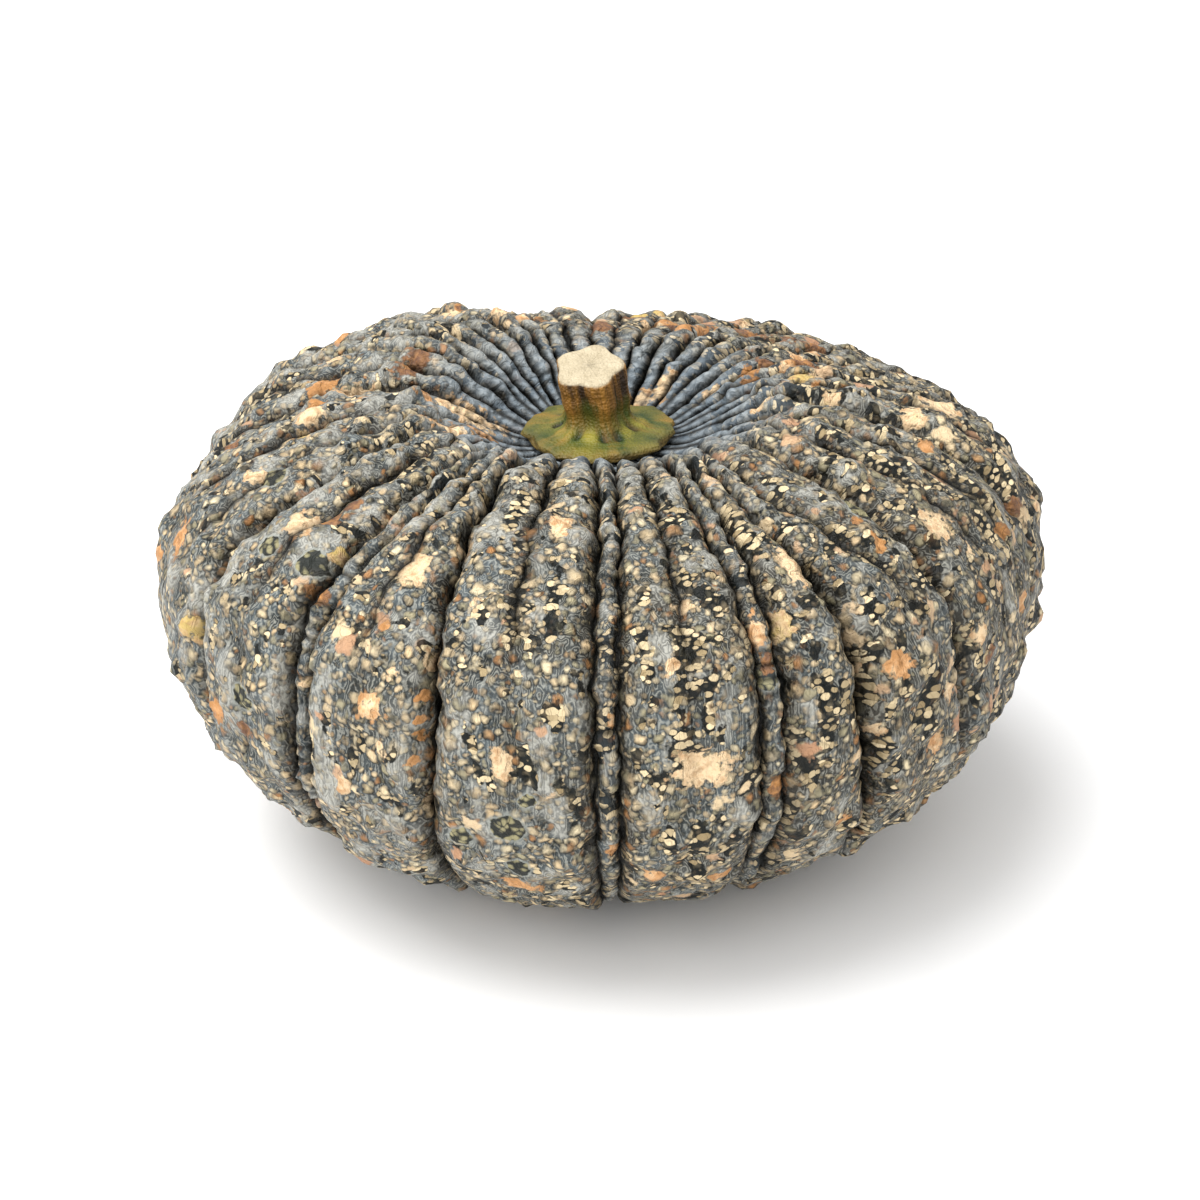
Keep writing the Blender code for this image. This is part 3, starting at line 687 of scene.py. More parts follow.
def rind_material(look):
    """The rind: hairy grey wax over slate, soft cream beads, dark nests, and pale or rusty blotches, with
    painted light on the heights and painted shade in the dips, furrows and creases.
    """
    material, tree = new_material("beaded rind")
    names = (
        "rest", "lay", "furrow", "edge", "ridge", "cord", "crown", "crease", "blotch", "tint", "wart", "patch",
    )
    reads = {name: add(tree, ATTRIBUTE, attribute_name=name) for name in names}
    place, lay = reads["rest"]["Vector"], reads["lay"]["Vector"]
    value = {name: outs["Fac"] for name, outs in reads.items()}
    moved = stirred(tree, place)
    (small, small_chances, small_below), (large, large_chances, large_below) = bead_pattern(tree, moved)
    fine, fine_chances, fine_below = bead_cells(tree, moved, FINE_BEAD_CELL, 0.26, 0.5)
    ragged = add(tree, NOISE, {"Vector": place, "Scale": 1 / (3 * MM), "Detail": 3.0})[0]
    ragged = add(tree, MINUS, (ragged, 0.5))[0]
    grain = add(tree, NOISE, {"Vector": place, "Scale": 1 / (1.4 * MM), "Detail": 2.0})[0]
    grain = add(tree, MINUS, (grain, 0.5))[0]
    high = swelling(tree, place)

    # Wax lies in bands drawn out from stem to blossom; fewer beads show there. The mask also rises on the
    # heights, the ridges, the upper shoulder and the -X side: painted light from above and from the left.
    band = add(tree, NOISE, {"Vector": lay, "Scale": 1 / (9 * MM), "Detail": 2.0})
    wax_and_painted_light = add(tree, TIMES_PLUS, (high, 0.22, band[0]))[0]
    wax_and_painted_light = add(tree, TIMES_PLUS, (value["ridge"], 0.06, wax_and_painted_light))[0]
    wax_and_painted_light = add(tree, TIMES_PLUS, (ragged, 0.15, wax_and_painted_light))[0]
    calm = add(tree, TIMES, (value["cord"], 0.4))[0]
    calm = add(tree, LARGER, (calm, value["crown"]))[0]
    side = add(tree, SPLIT, (place,))[0]
    # Painted light: more wax on the -X side, towards the lights.
    wax_and_painted_light = add(tree, TIMES_PLUS, (side, -0.35, wax_and_painted_light))[0]
    wax_and_painted_light = add(tree, TIMES_PLUS, (calm, 0.12, wax_and_painted_light))[0]
    along = add(tree, SPLIT, (lay,))[2]
    upper, lower = (arc / LAY_STRETCH for arc in SHOULDER_ARCS)
    # Painted light: more wax on the upper shoulder.
    painted_shoulder_light = add(tree, RANGE, (along, lower, upper, 0.0, 0.06))[0]
    wax_and_painted_light = add(tree, PLUS, (painted_shoulder_light, wax_and_painted_light))[0]
    wax_and_painted_light = add(tree, RANGE, (wax_and_painted_light, 0.67, 0.84))[0]
    beaded = add(tree, RANGE, (wax_and_painted_light, 0.0, 1.0, 1.0, 0.5))[0]
    cluster = add(tree, SPLIT, (band[1],))[1]
    cluster = add(tree, RANGE, (cluster, 0.38, 0.58, 0.65))[0]
    beaded = add(tree, TIMES, (beaded, cluster))[0]
    beaded = add(tree, LARGER, (beaded, value["edge"]))[0]
    bare = add(tree, RANGE, (value["crown"], 0.0, 1.0, 1.0, 0.4))[0]
    beaded = add(tree, TIMES, (beaded, bare))[0]

    # The ground turns from blue slate to a greener grey over a few centimetres, and towards +X, a painted
    # shade on the side away from the lights; painted shade darkens it in the dips.
    broad = add(tree, NOISE, {"Vector": place, "Scale": 1 / (22 * MM), "Detail": 2.0})[0]
    # Painted shade: greener, darker ground towards +X.
    broad = add(tree, TIMES_PLUS, (side, 1.2, broad))[0]
    broad = add(tree, RANGE, (broad, 0.35, 0.65))[0]
    colour = add(tree, BLEND, {0: broad, 6: (*look.cold_ground, 1.0), 7: (*look.warm_ground, 1.0)})[2]
    # Painted shade in the dips of the swellings.
    painted_dip_shade = add(tree, RANGE, (high, 0.6, 0.0, 0.0, 0.85))[0]
    colour = add(tree, BLEND, {0: painted_dip_shade, 6: colour, 7: "#272b28"})[2]
    # Painted shade darkens the flanks beside a furrow.
    colour = add(tree, BLEND, {0: value["edge"], 6: colour, 7: "#3d382f"})[2]
    colour = add(tree, BLEND, {0: wax_and_painted_light, 6: colour, 7: (*look.wax_and_painted_light, 1.0)})[2]
    # Fine dark and pale hair lines run from stem to blossom and part round the beads.
    strand = add(tree, VECTOR, (lay, (1.0, 1.0, 0.25)), operation="MULTIPLY")[0]
    drift = add(tree, NOISE, {"Vector": strand, "Scale": 1 / (3.2 * MM), "Detail": 1.5})[0]
    hair = add(tree, TIMES, (drift, 58.0))[0]
    hair = add(tree, TIMES_PLUS, (fine, 4.0, hair))[0]
    hair = add(tree, TIMES_PLUS, (grain, 8.0, hair))[0]
    hair = add(tree, SINE, (hair,))[0]
    pale = add(tree, RANGE, (hair, 0.0, -1.0, 0.0, 0.4))[0]
    colour = add(tree, BLEND, {0: pale, 6: colour, 7: "#bab8ab"})[2]
    thin = add(tree, RANGE, (hair, 0.2, 1.0, 0.0, 0.4))[0]
    colour = add(tree, BLEND, {0: thin, 6: colour, 7: "#171a18"})[2]

    # Nests are dark patches drawn out the same way: those listed and a scatter of smaller ones.
    marked = add(tree, TIMES_PLUS, (ragged, 1.5, value["patch"]))[0]
    marked = add(tree, RANGE, (marked, 0.0, 0.15))[0]
    strip = add(tree, NOISE, {"Vector": lay, "Scale": 1 / (5.5 * MM), "Detail": 1.5})[1]
    strip = add(tree, SPLIT, (strip,))[1]
    strip = add(tree, TIMES_PLUS, (ragged, 0.3, strip))[0]
    # Nests crowd towards +X: partly the fruit's own marks, partly painted shade on the side away from the
    # lights.
    side_nests_and_shade = add(tree, RANGE, (side, -0.10, 0.06, -0.05, 0.028))[0]
    strip = add(tree, PLUS, (strip, side_nests_and_shade))[0]
    strip = add(tree, RANGE, (strip, 0.575, 0.605))[0]
    nest = add(tree, LARGER, (strip, marked))[0]
    outside = add(tree, RANGE, (nest, 0.0, 1.0, 1.0, 0.15))[0]
    beaded = add(tree, TIMES, (beaded, outside))[0]
    colour = add(tree, BLEND, {0: nest, 6: colour, 7: "#0b0e09"})[2]

    # Beads: each has a dark ring, heavier below as a painted shadow under the bead, and a soft cream, tan,
    # olive or salmon middle.
    for inside, chances, below, least, ring_width, strength in (
        (fine, fine_chances, fine_below, -0.4, 0.2, 0.8),
        (small, small_chances, small_below, BEAD_LEASTS[0], 0.17, 1.0),
        (large, large_chances, large_below, BEAD_LEASTS[1], 0.11, 1.0),
    ):
        share = add(tree, TIMES_PLUS, (value["edge"], EDGE_CROWDING, chances[2]))[0]
        there = add(tree, RANGE, (share, least, least + 0.4))[0]
        there = add(tree, TIMES, (there, beaded))[0]
        ring = add(tree, RANGE, (inside, -ring_width, -0.2 * ring_width))[0]
        # Painted shadow: the ring darkens more below the bead's middle.
        under = add(tree, RANGE, (below, 0.0, 1.0, 0.45 * strength, strength))[0]
        ring = add(tree, TIMES, (ring, under))[0]
        ring = add(tree, TIMES, (ring, there))[0]
        colour = add(tree, BLEND, {0: ring, 6: colour, 7: "#0c0f0d"})[2]
        kind = add(tree, TIMES_PLUS, (value["edge"], 0.22, chances[1]))[0]
        tone = add(tree, RANGE, (kind, 0.0, 0.55))[0]
        bead = add(tree, BLEND, {0: tone, 6: (*look.bead, 1.0), 7: "#d9bd92"})[2]
        tone = add(tree, RANGE, (kind, 0.6, 0.7))[0]
        bead = add(tree, BLEND, {0: tone, 6: bead, 7: "#a69c7c"})[2]
        tone = add(tree, RANGE, (kind, 0.9, 0.95))[0]
        bead = add(tree, BLEND, {0: tone, 6: bead, 7: "#b2804e"})[2]
        core = add(tree, TIMES_PLUS, (grain, 0.35, inside))[0]
        core = add(tree, RANGE, (core, -0.3 * ring_width, 0.26, 0.0, strength))[0]
        core = add(tree, TIMES, (core, there))[0]
        colour = add(tree, BLEND, {0: core, 6: colour, 7: bead})[2]

    # The beads of a nest are squashed along the rib and crowd together, cream over black.
    crowd_place = add(tree, VECTOR, (lay, (1.0, 1.0, 3.1)), operation="MULTIPLY")[0]
    crowd, crowd_chances, _ = bead_cells(tree, crowd_place, NEST_CELL, 0.32, 0.72)
    core = add(tree, TIMES_PLUS, (ragged, 0.6, crowd))[0]
    core = add(tree, RANGE, (core, 0.02, 0.10))[0]
    seen = add(tree, RANGE, (crowd_chances[2], 0.12, 0.14))[0]
    core = add(tree, TIMES, (core, seen))[0]
    core = add(tree, TIMES, (core, nest))[0]
    bead = add(tree, BLEND, {0: crowd_chances[1], 6: "#e8d3aa", 7: "#96825e"})[2]
    colour = add(tree, BLEND, {0: core, 6: colour, 7: bead})[2]

    # Flecks: small ragged pale spots all over.
    fleck, fleck_chances, _ = bead_cells(tree, moved, FLECK_CELL, 0.04, 0.35)
    fleck = add(tree, TIMES_PLUS, (ragged, 0.7, fleck))[0]
    fleck = add(tree, RANGE, (fleck, 0.0, 0.10, 0.0, 0.9))[0]
    fleck = add(tree, TIMES, (fleck, bare))[0]
    seen = add(tree, RANGE, (fleck_chances[2], 0.25, 0.26))[0]
    fleck = add(tree, TIMES, (fleck, seen))[0]
    bead = add(tree, BLEND, {0: fleck_chances[1], 6: "#e4cda4", 7: "#b98a68"})[2]
    colour = add(tree, BLEND, {0: fleck, 6: colour, 7: bead})[2]

    # Warts are black with fine olive beads in a pale ring.
    wart = add(tree, TIMES_PLUS, (ragged, 0.7, value["wart"]))[0]
    halo = add(tree, RANGE, (wart, -0.3, -0.05, 0.0, 0.7))[0]
    colour = add(tree, BLEND, {0: halo, 6: colour, 7: "#9a9d96"})[2]
    body = add(tree, RANGE, (wart, -0.02, 0.06, 0.0, 0.95))[0]
    scrawl = add(tree, RANGE, (fine, -0.2, 0.08))[0]
    scrawl = add(tree, BLEND, {0: scrawl, 6: "#0e120a", 7: "#9a926c"})[2]
    colour = add(tree, BLEND, {0: body, 6: colour, 7: scrawl})[2]

    # Blotches have a toothed rim; their tint runs from yellow over peach, salmon and orange to brown.
    blotch = add(tree, TIMES_PLUS, (ragged, 2.2, value["blotch"]))[0]
    blotch = add(tree, TIMES_PLUS, (grain, 0.6, blotch))[0]
    tinted = add(tree, TIMES_PLUS, (ragged, 0.7, value["tint"]))[0]
    hue = "#c6ab68"
    for low, high_tint, shade in (
        (0.05, 0.25, "#e8cba2"), (0.40, 0.58, "#cf9c6a"), (0.62, 0.75, "#b8824c"), (0.82, 0.95, "#6f4f3c"),
    ):
        step = add(tree, RANGE, (tinted, low, high_tint))[0]
        hue = add(tree, BLEND, {0: step, 6: hue, 7: shade})[2]
    mottle = add(tree, TIMES_PLUS, (ragged, 1.5, grain))[0]
    mottle = add(tree, RANGE, (mottle, -0.05, 0.35, 0.0, 0.6))[0]
    hue = add(tree, BLEND, {0: mottle, 6: hue, 7: "#a87a4c"})[2]
    bare = add(tree, RANGE, (blotch, 0.02, 0.25))[0]
    rim = add(tree, RANGE, (blotch, -0.08, 0.1, 0.0, 0.45))[0]
    colour = add(tree, BLEND, {0: rim, 6: colour, 7: "#25251c"})[2]
    colour = add(tree, BLEND, {0: bare, 6: colour, 7: hue})[2]

    # The cords of the crown are bluer and smoother, with a painted highlight along their tops, painted shade
    # on their sides and painted shade in the troughs of the fine ripples across them.
    clear = add(tree, MINUS, (1.0, bare))[0]
    blue = add(tree, TIMES, (value["crown"], 0.78))[0]
    blue = add(tree, TIMES_PLUS, (value["cord"], 0.12, blue))[0]
    blue = add(tree, TIMES, (blue, clear), use_clamp=True)[0]
    # Painted highlight on the cords' tops and painted shade on their sides.
    top = add(tree, RANGE, (value["ridge"], 0.35, 1.0))[0]
    slate = add(tree, BLEND, {0: top, 6: "#161e25", 7: "#84919b"})[2]
    colour = add(tree, BLEND, {0: blue, 6: colour, 7: slate})[2]
    ripple = add(tree, TIMES, (drift, 9.0))[0]
    ripple = add(tree, TIMES_PLUS, (along, math.tau * LAY_STRETCH / RIPPLE_LENGTH, ripple))[0]
    ripple = add(tree, SINE, (ripple,))[0]
    ripple = add(tree, TIMES, (ripple, calm))[0]
    # Painted shade in the ripples' troughs.
    fold = add(tree, RANGE, (ripple, 0.1, -1.0, 0.0, 0.5))[0]
    colour = add(tree, BLEND, {0: fold, 6: colour, 7: "#2a343b"})[2]

    # Painted shade darkens the low parts between the cords close round the stem.
    near = add(tree, RANGE, (along, *(arc / LAY_STRETCH for arc in SEAT_SHADE_ARCS)))[0]
    low = add(tree, RANGE, (value["ridge"], 0.0, 1.0, 0.9, 0.2))[0]
    near = add(tree, TIMES, (near, low))[0]
    colour = add(tree, BLEND, {0: near, 6: colour, 7: "#0c1014"})[2]
    # Painted shade makes the flanks beside a furrow browner and darker.
    painted_flank_shade = add(tree, TIMES, (value["edge"], 0.55))[0]
    colour = add(tree, BLEND, {0: painted_flank_shade, 6: colour, 7: "#211d15"})[2]
    # Painted shade darkens the furrows and creases, nearly black at the bottom.
    painted_furrow_shade = (value["furrow"], 0.06, 0.85, 0.0, 0.97)
    painted_furrow_shade = add(tree, RANGE, painted_furrow_shade, interpolation_type="SMOOTHSTEP")[0]
    colour = add(tree, BLEND, {0: painted_furrow_shade, 6: colour, 7: "#090a07"})[2]
    painted_crease_shade = add(tree, RANGE, (value["crease"], 0.35, 1.0, 0.0, 0.7))[0]
    colour = add(tree, BLEND, {0: painted_crease_shade, 6: colour, 7: "#0f120f"})[2]

    # Fine relief: bead domes, hair lines, ripples and a grain; the nests lie deeper.
    bump = add(tree, TIMES, (grain, 0.5))[0]
    for inside, chances, least, height in (
        (small, small_chances, BEAD_LEASTS[0], 0.5), (large, large_chances, BEAD_LEASTS[1], 0.7),
    ):
        dome = add(tree, RANGE, (inside, -0.10, 0.18))[0]
        there = add(tree, RANGE, (chances[2], least, least + 0.4))[0]
        dome = add(tree, TIMES, (dome, there))[0]
        bump = add(tree, TIMES_PLUS, (dome, height, bump))[0]
    bump = add(tree, TIMES_PLUS, (high, 1.5, bump))[0]
    bump = add(tree, TIMES_PLUS, (hair, -0.07, bump))[0]
    bump = add(tree, TIMES_PLUS, (ripple, 0.3, bump))[0]
    bump = add(tree, TIMES_PLUS, (strip, -0.35, bump))[0]
    normal = add(tree, "ShaderNodeBump", {"Height": bump, "Distance": MM, "Strength": look.relief})[0]
    rough = add(tree, RANGE, (grain, -0.5, 0.5, 0.42, 0.68))[0]
    shader = add(
        tree, "ShaderNodeBsdfPrincipled",
        {"Base Color": colour, "Roughness": rough, "Normal": normal, "IOR": RIND_IOR},
    )[0]
    add(tree, "ShaderNodeOutputMaterial", {"Surface": shader})
    return material


# The stem's mesh, and what its finish adds to the solid: an uneven rim, folds on the foot and fine fibres.
STEM_ROWS = 150
STEM_COLUMNS = 260
RIM_WAVES = ((3, 0.6, 0.035), (5, 2.1, 0.030), (8, 0.4, 0.028), (13, 1.0, 0.022), (21, 0.2, 0.012))
FOLD_WAVES = ((3, 1.9, 0.7 * MM), (7, 0.9, 0.8 * MM), (12, 2.4, 0.6 * MM), (19, 0.3, 0.4 * MM))
FOLD_RADII = (10.5 * MM, 14 * MM, 20.5 * MM, 23 * MM)
FIBRE_WAVES = ((9, 0.5, 0.020), (16, 1.7, 0.012), (31, 0.8, 0.006))
RIM_DROOP = 1.6 * MM
# The stalk stands straighter on its foot than the solid: how much of the flare is taken off, and where.
FLARE_CUT = 0.12
FLARE_HEIGHTS = (4.5 * MM, 6.5 * MM, 9 * MM, 14 * MM)


def waves(azimuth, table):
    """The sum of waves round the stem, each a count, a phase and a height."""
    return sum(height * np.cos(count * azimuth + phase) for count, phase, height in table)


def stem_profile():
    """Radius, height, ridge share, scallop share and cut share, from the cut's middle to the underside's."""
    ridge = STALK_RINGS[-1][2]
    cut = [(0.0, CUT_HEIGHT, 0.0, 0.0, 1.0), (CUT_RADIUS - CUT_BEVEL, CUT_HEIGHT, ridge, 0.0, 1.0)]
    cut.append((CUT_RADIUS, CUT_HEIGHT - CUT_BEVEL, ridge, 0.0, 0.5))
    side = [(*ring, 0.0) for ring in reversed(STALK_RINGS)]
    under = []
    for radius in (*reversed(FOOT_UNDERSIDE_RADII), 0.0):
        seat = crown_height(np.maximum(radius, SEAT_RADIUS)) - crown_height(SEAT_RADIUS)
        under.append((radius, seat + SEAT_GAP, 0.0, 0.0, 0.0))
    return np.array(cut + side + under, float)


def stem_form():
    """The grid of points of the stem, and the values that its finish reads there."""
    profile = stem_profile()
    way = np.concatenate(([0.0], np.cumsum(np.hypot(*np.diff(profile[:, :2], axis=0).T))))
    at = np.linspace(0, way[-1], STEM_ROWS + 1)
    radius, height, ridge, scallop, cut = (np.interp(at, way, column)[:, None] for column in profile.T)
    azimuth = (math.tau * np.arange(STEM_COLUMNS) / STEM_COLUMNS)[None, :]
    flute = np.cos(STEM_RIDGES * (azimuth - STEM_RIDGE_TURN))
    stalk = smooth_step(FOLD_RADII[1], FOLD_RADII[0], radius)
    swing = ridge * flute + stalk * (1 - cut) * waves(azimuth, FIBRE_WAVES)
    swing += smooth_step(0, STALK_RINGS[0][3], scallop) * waves(azimuth, RIM_WAVES)
    slim = smooth_step(*FLARE_HEIGHTS[:2], height) * (1 - smooth_step(*FLARE_HEIGHTS[2:], height))
    reach = radius * (1 + swing - FLARE_CUT * slim * (1 - cut))
    x = reach * np.sin(azimuth)
    y = -reach * np.cos(azimuth)
    top_side = smooth_step(way[-1] * 0.5, way[-1] * 0.45, at)[:, None]
    band = smooth_step(*FOLD_RADII[:2], radius) * smooth_step(FOLD_RADII[3], FOLD_RADII[2], radius)
    folds = top_side * band * waves(azimuth, FOLD_WAVES)
    droop = RIM_DROOP * smooth_step(FOLD_RADII[1], FOLD_RADII[3], radius) * top_side
    slant = y * math.tan(CUT_TILT) + x * math.tan(CUT_ROLL)
    z = height + folds - droop + slant * smooth_step(STALK_RINGS[-3][1], CUT_HEIGHT - CUT_BEVEL, height)
    points = np.stack((x - height * math.tan(STEM_LEAN), y, z + crown_height(SEAT_RADIUS)), -1)
    level = 0 * azimuth
    fields = {
        "cut": cut + level,
        "height": height / CUT_HEIGHT + level,
        "flute": flute + 0 * radius,
        "fold": folds / FOLD_WAVES[0][2],
        "round": np.stack(
            (np.sin(azimuth) + 0 * radius, np.cos(azimuth) + 0 * radius, 4 * height / CUT_HEIGHT + level), -1
        ),
    }
    return lean(points), fields


def stem_material(look):
    """The stem: a tan and olive fibrous stalk on a green folded foot, with a pale fibrous cut face."""
    material, tree = new_material("cut stalk")
    names = ("rest", "cut", "height", "flute", "fold", "round")
    reads = {name: add(tree, ATTRIBUTE, attribute_name=name) for name in names}
    place = reads["rest"]["Vector"]
    # Streaks run up the stalk, dark in its grooves and tan on its ridges: partly the stalk's own colour,
    # partly painted shade in the grooves and painted light on the ridges.
    along = add(tree, VECTOR, (reads["round"]["Vector"], (4.5, 4.5, 0.2)), operation="MULTIPLY")[0]
    streak = add(tree, NOISE, {"Vector": along, "Scale": 1.0, "Detail": 4.0, "Roughness": 0.6})[0]
    streak = add(tree, TIMES_PLUS, (reads["flute"]["Fac"], 0.10, streak))[0]
    streak = add(tree, RANGE, (streak, 0.38, 0.64))[0]
    stalk = add(tree, BLEND, {0: streak, 6: "#2c1a05", 7: (*look.stalk, 1.0)})[2]
    broad = add(tree, NOISE, {"Vector": place, "Scale": 1 / (8 * MM), "Detail": 3.0})[0]
    # The foot is green with tan patches; painted shade darkens its folds.
    green = add(tree, TIMES_PLUS, (reads["fold"]["Fac"], 0.16, broad))[0]
    green = add(tree, RANGE, (green, 0.34, 0.74))[0]
    foot = add(tree, BLEND, {0: green, 6: (*look.foot, 1.0), 7: "#90852c"})[2]
    # Painted shade in the folds.
    painted_dip_shade = add(tree, RANGE, (reads["fold"]["Fac"], 0.3, -1.0, 0.0, 0.85))[0]
    foot = add(tree, BLEND, {0: painted_dip_shade, 6: foot, 7: "#141c04"})[2]
    # The foot's rim is dry and brown.
    rim = add(tree, RANGE, (reads["height"]["Fac"], 0.2, 0.12, 0.0, 0.55))[0]
    foot = add(tree, BLEND, {0: rim, 6: foot, 7: "#6b4a2c"})[2]
    # Green climbs the stalk unevenly.
    climb = add(tree, TIMES_PLUS, (broad, 0.9, reads["height"]["Fac"]))[0]
    climb = add(tree, TIMES_PLUS, (streak, 0.25, climb))[0]
    climb = add(tree, RANGE, (climb, 0.75, 1.25))[0]
    colour = add(tree, BLEND, {0: climb, 6: foot, 7: stalk})[2]
    fibre = add(tree, VORONOI, {"Vector": place, "Scale": 1 / (0.8 * MM)})["Distance"]
    cloud = add(tree, NOISE, {"Vector": place, "Scale": 1 / (3 * MM), "Detail": 4.0})[0]
    cloud = add(tree, TIMES_PLUS, (fibre, 0.25, cloud))[0]
    cloud = add(tree, RANGE, (cloud, 0.4, 1.0))[0]
    pith = add(tree, BLEND, {0: cloud, 6: (*look.pith, 1.0), 7: "#9f9174"})[2]
    face = add(tree, RANGE, (reads["cut"]["Fac"], 0.55, 0.8))[0]
    colour = add(tree, BLEND, {0: face, 6: colour, 7: pith})[2]
    bump = add(tree, TIMES_PLUS, (streak, 0.6, fibre))[0]
    normal = add(tree, "ShaderNodeBump", {"Height": bump, "Distance": 0.4 * MM, "Strength": look.relief})[0]
    shader = add(
        tree, "ShaderNodeBsdfPrincipled",
        {"Base Color": colour, "Roughness": 0.55, "Normal": normal, "IOR": STEM_IOR},
    )[0]
    add(tree, "ShaderNodeOutputMaterial", {"Surface": shader})
    return material


def colour_setting(name, description, shade):
    """A colour that a user may change, given as sRGB hex."""
    return FloatVectorProperty(
        name=name, description=description, default=linear(shade)[:3], size=3, min=0, max=1, subtype="COLOR"
    )


class PumpkinRindSettings(bpy.types.PropertyGroup):
    """Sizes and looks of the rind that a user may change."""

    rows: IntProperty(
        name="Rows", description="Rows of the skin's mesh from stem to blossom", default=SKIN_ROWS, min=60
    )
    relief: FloatProperty(
        name="Fine relief", description="Strength of the finest relief of the skin",
        default=1.0, min=0.0, max=1.0, subtype="FACTOR",
    )
    cold_ground: colour_setting("Cold ground", "Colour of the skin between beads at its bluest", "#5e6668")
    warm_ground: colour_setting("Warm ground", "Colour of the skin between beads at its warmest", "#55524a")
    # The wax colour also serves as painted light on the heights, the shoulder and the -X side.
    wax_and_painted_light: colour_setting("Wax", "Colour of the dull wax on the heights", "#a3a29a")
    bead: colour_setting("Beads", "Colour of the palest beads", "#ecdcb6")


class PumpkinStemSettings(bpy.types.PropertyGroup):
    """Looks of the stem that a user may change."""

    relief: FloatProperty(
        name="Fibre relief", description="Strength of the stalk's fibres",
        default=0.85, min=0.0, max=1.0, subtype="FACTOR",
    )
    stalk: colour_setting("Stalk", "Colour of the stalk's dry ridges", "#986a26")
    foot: colour_setting("Foot", "Colour of the foot at its greenest", "#30490a")
    pith: colour_setting("Pith", "Colour of the pale cut face", "#c3b598")


class PumpkinStageSettings(bpy.types.PropertyGroup):
    """The floor and the lights of the stage."""

    floor_width: FloatProperty(
        name="Floor width", description="Width of the floor's square", default=8.0, unit="LENGTH"
    )
    floor_colour: FloatVectorProperty(
        name="Floor colour", description="Colour of the pale floor",
        default=(0.95, 0.95, 0.95), size=3, min=0, max=1, subtype="COLOR",
    )
    key_power: FloatProperty(
        name="Key light", description="Power of the big soft light overhead", default=29.0, unit="POWER"
    )
    world_strength: FloatProperty(
        name="Sky light", description="Strength of the white light all round", default=0.85, min=0.0
    )


class PUMPKIN_OT_rind(bpy.types.Operator):
    """Model the fruit's ribbed skin and give it its beaded finish"""

    bl_idname = "pumpkin.rind"
    bl_label = "Rind"

    def execute(self, context):
        size = context.scene.pumpkin_rind
        skin = moulded("rind", *rind_form(size))
        raise_beads(skin)
        places = np.empty(len(skin.data.vertices) * 3)
        skin.data.vertices.foreach_get("co", places)
        places = places.reshape(-1, 3)
        places[:, 2] = np.maximum(places[:, 2], 0)
        skin.data.vertices.foreach_set("co", places.ravel())
        skin.data.update()
        skin.data.materials.append(rind_material(size))
        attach(skin, "root")
        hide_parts("fruit")
        return {"FINISHED"}


class PUMPKIN_OT_stem(bpy.types.Operator):
    """Model the cut stalk on its spread foot and give it its finish"""

    bl_idname = "pumpkin.stem"
    bl_label = "Stem"

    def execute(self, context):
        stalk = moulded("stalk", *stem_form())
        stalk.data.materials.append(stem_material(context.scene.pumpkin_stem))
        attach(stalk, "root")
        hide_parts("stem")
        return {"FINISHED"}


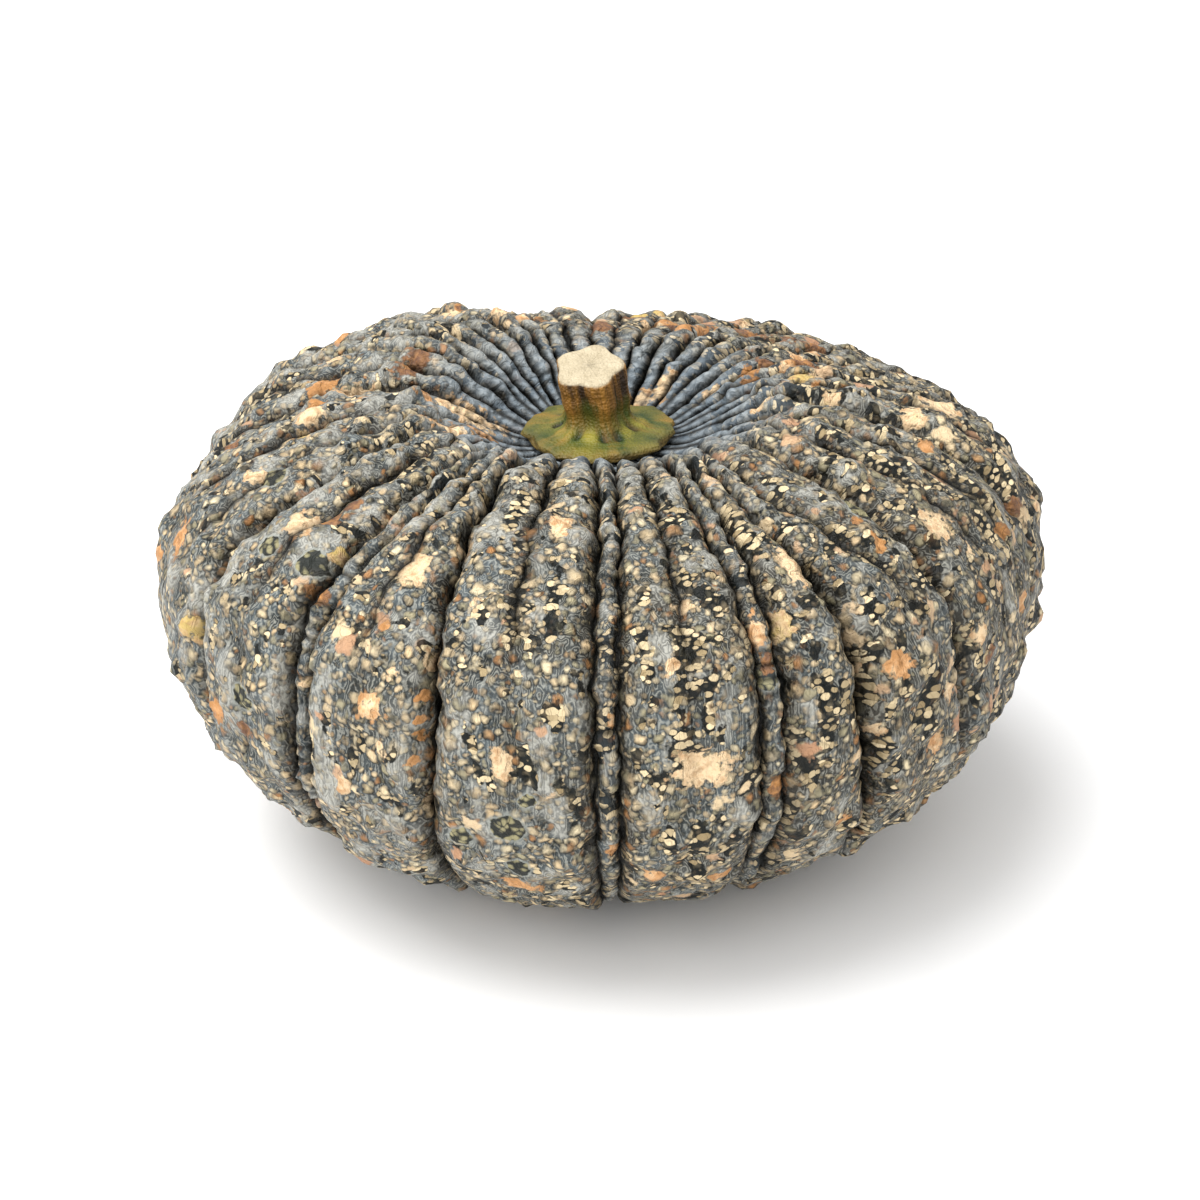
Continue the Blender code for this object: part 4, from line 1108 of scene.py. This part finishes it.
class PUMPKIN_OT_stage(bpy.types.Operator):
    """Set the pale floor, the soft lights and the camera"""

    bl_idname = "pumpkin.stage"
    bl_label = "Stage"

    def execute(self, context):
        stage = context.scene.pumpkin_stage
        clear_selection()
        bpy.ops.mesh.primitive_plane_add(size=stage.floor_width)
        floor = context.object
        floor.name = "floor"
        material, tree = new_material("pale floor")
        shader = add(
            tree, "ShaderNodeBsdfPrincipled", {"Base Color": (*stage.floor_colour, 1.0), "Roughness": 0.9}
        )[0]
        add(tree, "ShaderNodeOutputMaterial", {"Surface": shader})
        floor.data.materials.append(material)
        for place, size, power in KEY_LIGHTS:
            bpy.ops.object.light_add(type="AREA", location=place)
            light = context.object
            light.data.shape = "DISK"
            light.data.size = size
            light.data.energy = stage.key_power * power
            aim = Vector((0, 0, WAIST_HEIGHT)) - Vector(place)
            light.rotation_euler = aim.to_track_quat("-Z", "Y").to_euler()
        world = bpy.data.worlds.new("white room")
        context.scene.world = world
        world.use_nodes = True
        backdrop = world.node_tree.nodes["Background"]
        backdrop.inputs["Color"].default_value = (1, 1, 1, 1)
        backdrop.inputs["Strength"].default_value = stage.world_strength
        context.scene.view_settings.view_transform = "Standard"
        aim = Vector(CAMERA_AIM)
        back = Vector((0, -math.cos(CAMERA_ELEVATION), math.sin(CAMERA_ELEVATION)))
        bpy.ops.object.camera_add(
            location=aim + back * CAMERA_DISTANCE, rotation=(math.pi / 2 - CAMERA_ELEVATION, 0, 0)
        )
        camera = context.object
        camera.data.sensor_width = CAMERA_SENSOR
        camera.data.lens = CAMERA_LENS
        camera.data.shift_x, camera.data.shift_y = CAMERA_SHIFT
        context.scene.camera = camera
        return {"FINISHED"}


class PUMPKIN_PT_panel(bpy.types.Panel):
    """Lists the pumpkin's pieces and what can be changed in them"""

    bl_label = "Pumpkin"
    bl_idname = "PUMPKIN_PT_panel"
    bl_space_type = "VIEW_3D"
    bl_region_type = "UI"
    bl_category = "Pumpkin"

    def draw(self, context):
        for settings, operator in PIECES:
            group = getattr(context.scene, settings)
            box = self.layout.box()
            for name in group.__annotations__:
                box.prop(group, name)
            box.operator(operator)


PIECES = (
    ("pumpkin_rind", "pumpkin.rind"), ("pumpkin_stem", "pumpkin.stem"), ("pumpkin_stage", "pumpkin.stage"),
)
SETTINGS = {
    "pumpkin_rind": PumpkinRindSettings,
    "pumpkin_stem": PumpkinStemSettings,
    "pumpkin_stage": PumpkinStageSettings,
}
CLASSES = (*SETTINGS.values(), PUMPKIN_OT_rind, PUMPKIN_OT_stem, PUMPKIN_OT_stage, PUMPKIN_PT_panel)


def register():
    for kind in CLASSES:
        bpy.utils.register_class(kind)
    for name, kind in SETTINGS.items():
        setattr(bpy.types.Scene, name, PointerProperty(type=kind))


def unregister():
    for name in SETTINGS:
        delattr(bpy.types.Scene, name)
    for kind in reversed(CLASSES):
        bpy.utils.unregister_class(kind)


def main():
    register()
    bpy.ops.pumpkin.rind()
    bpy.ops.pumpkin.stem()
    bpy.ops.pumpkin.stage()


if __name__ == "__main__":
    main()
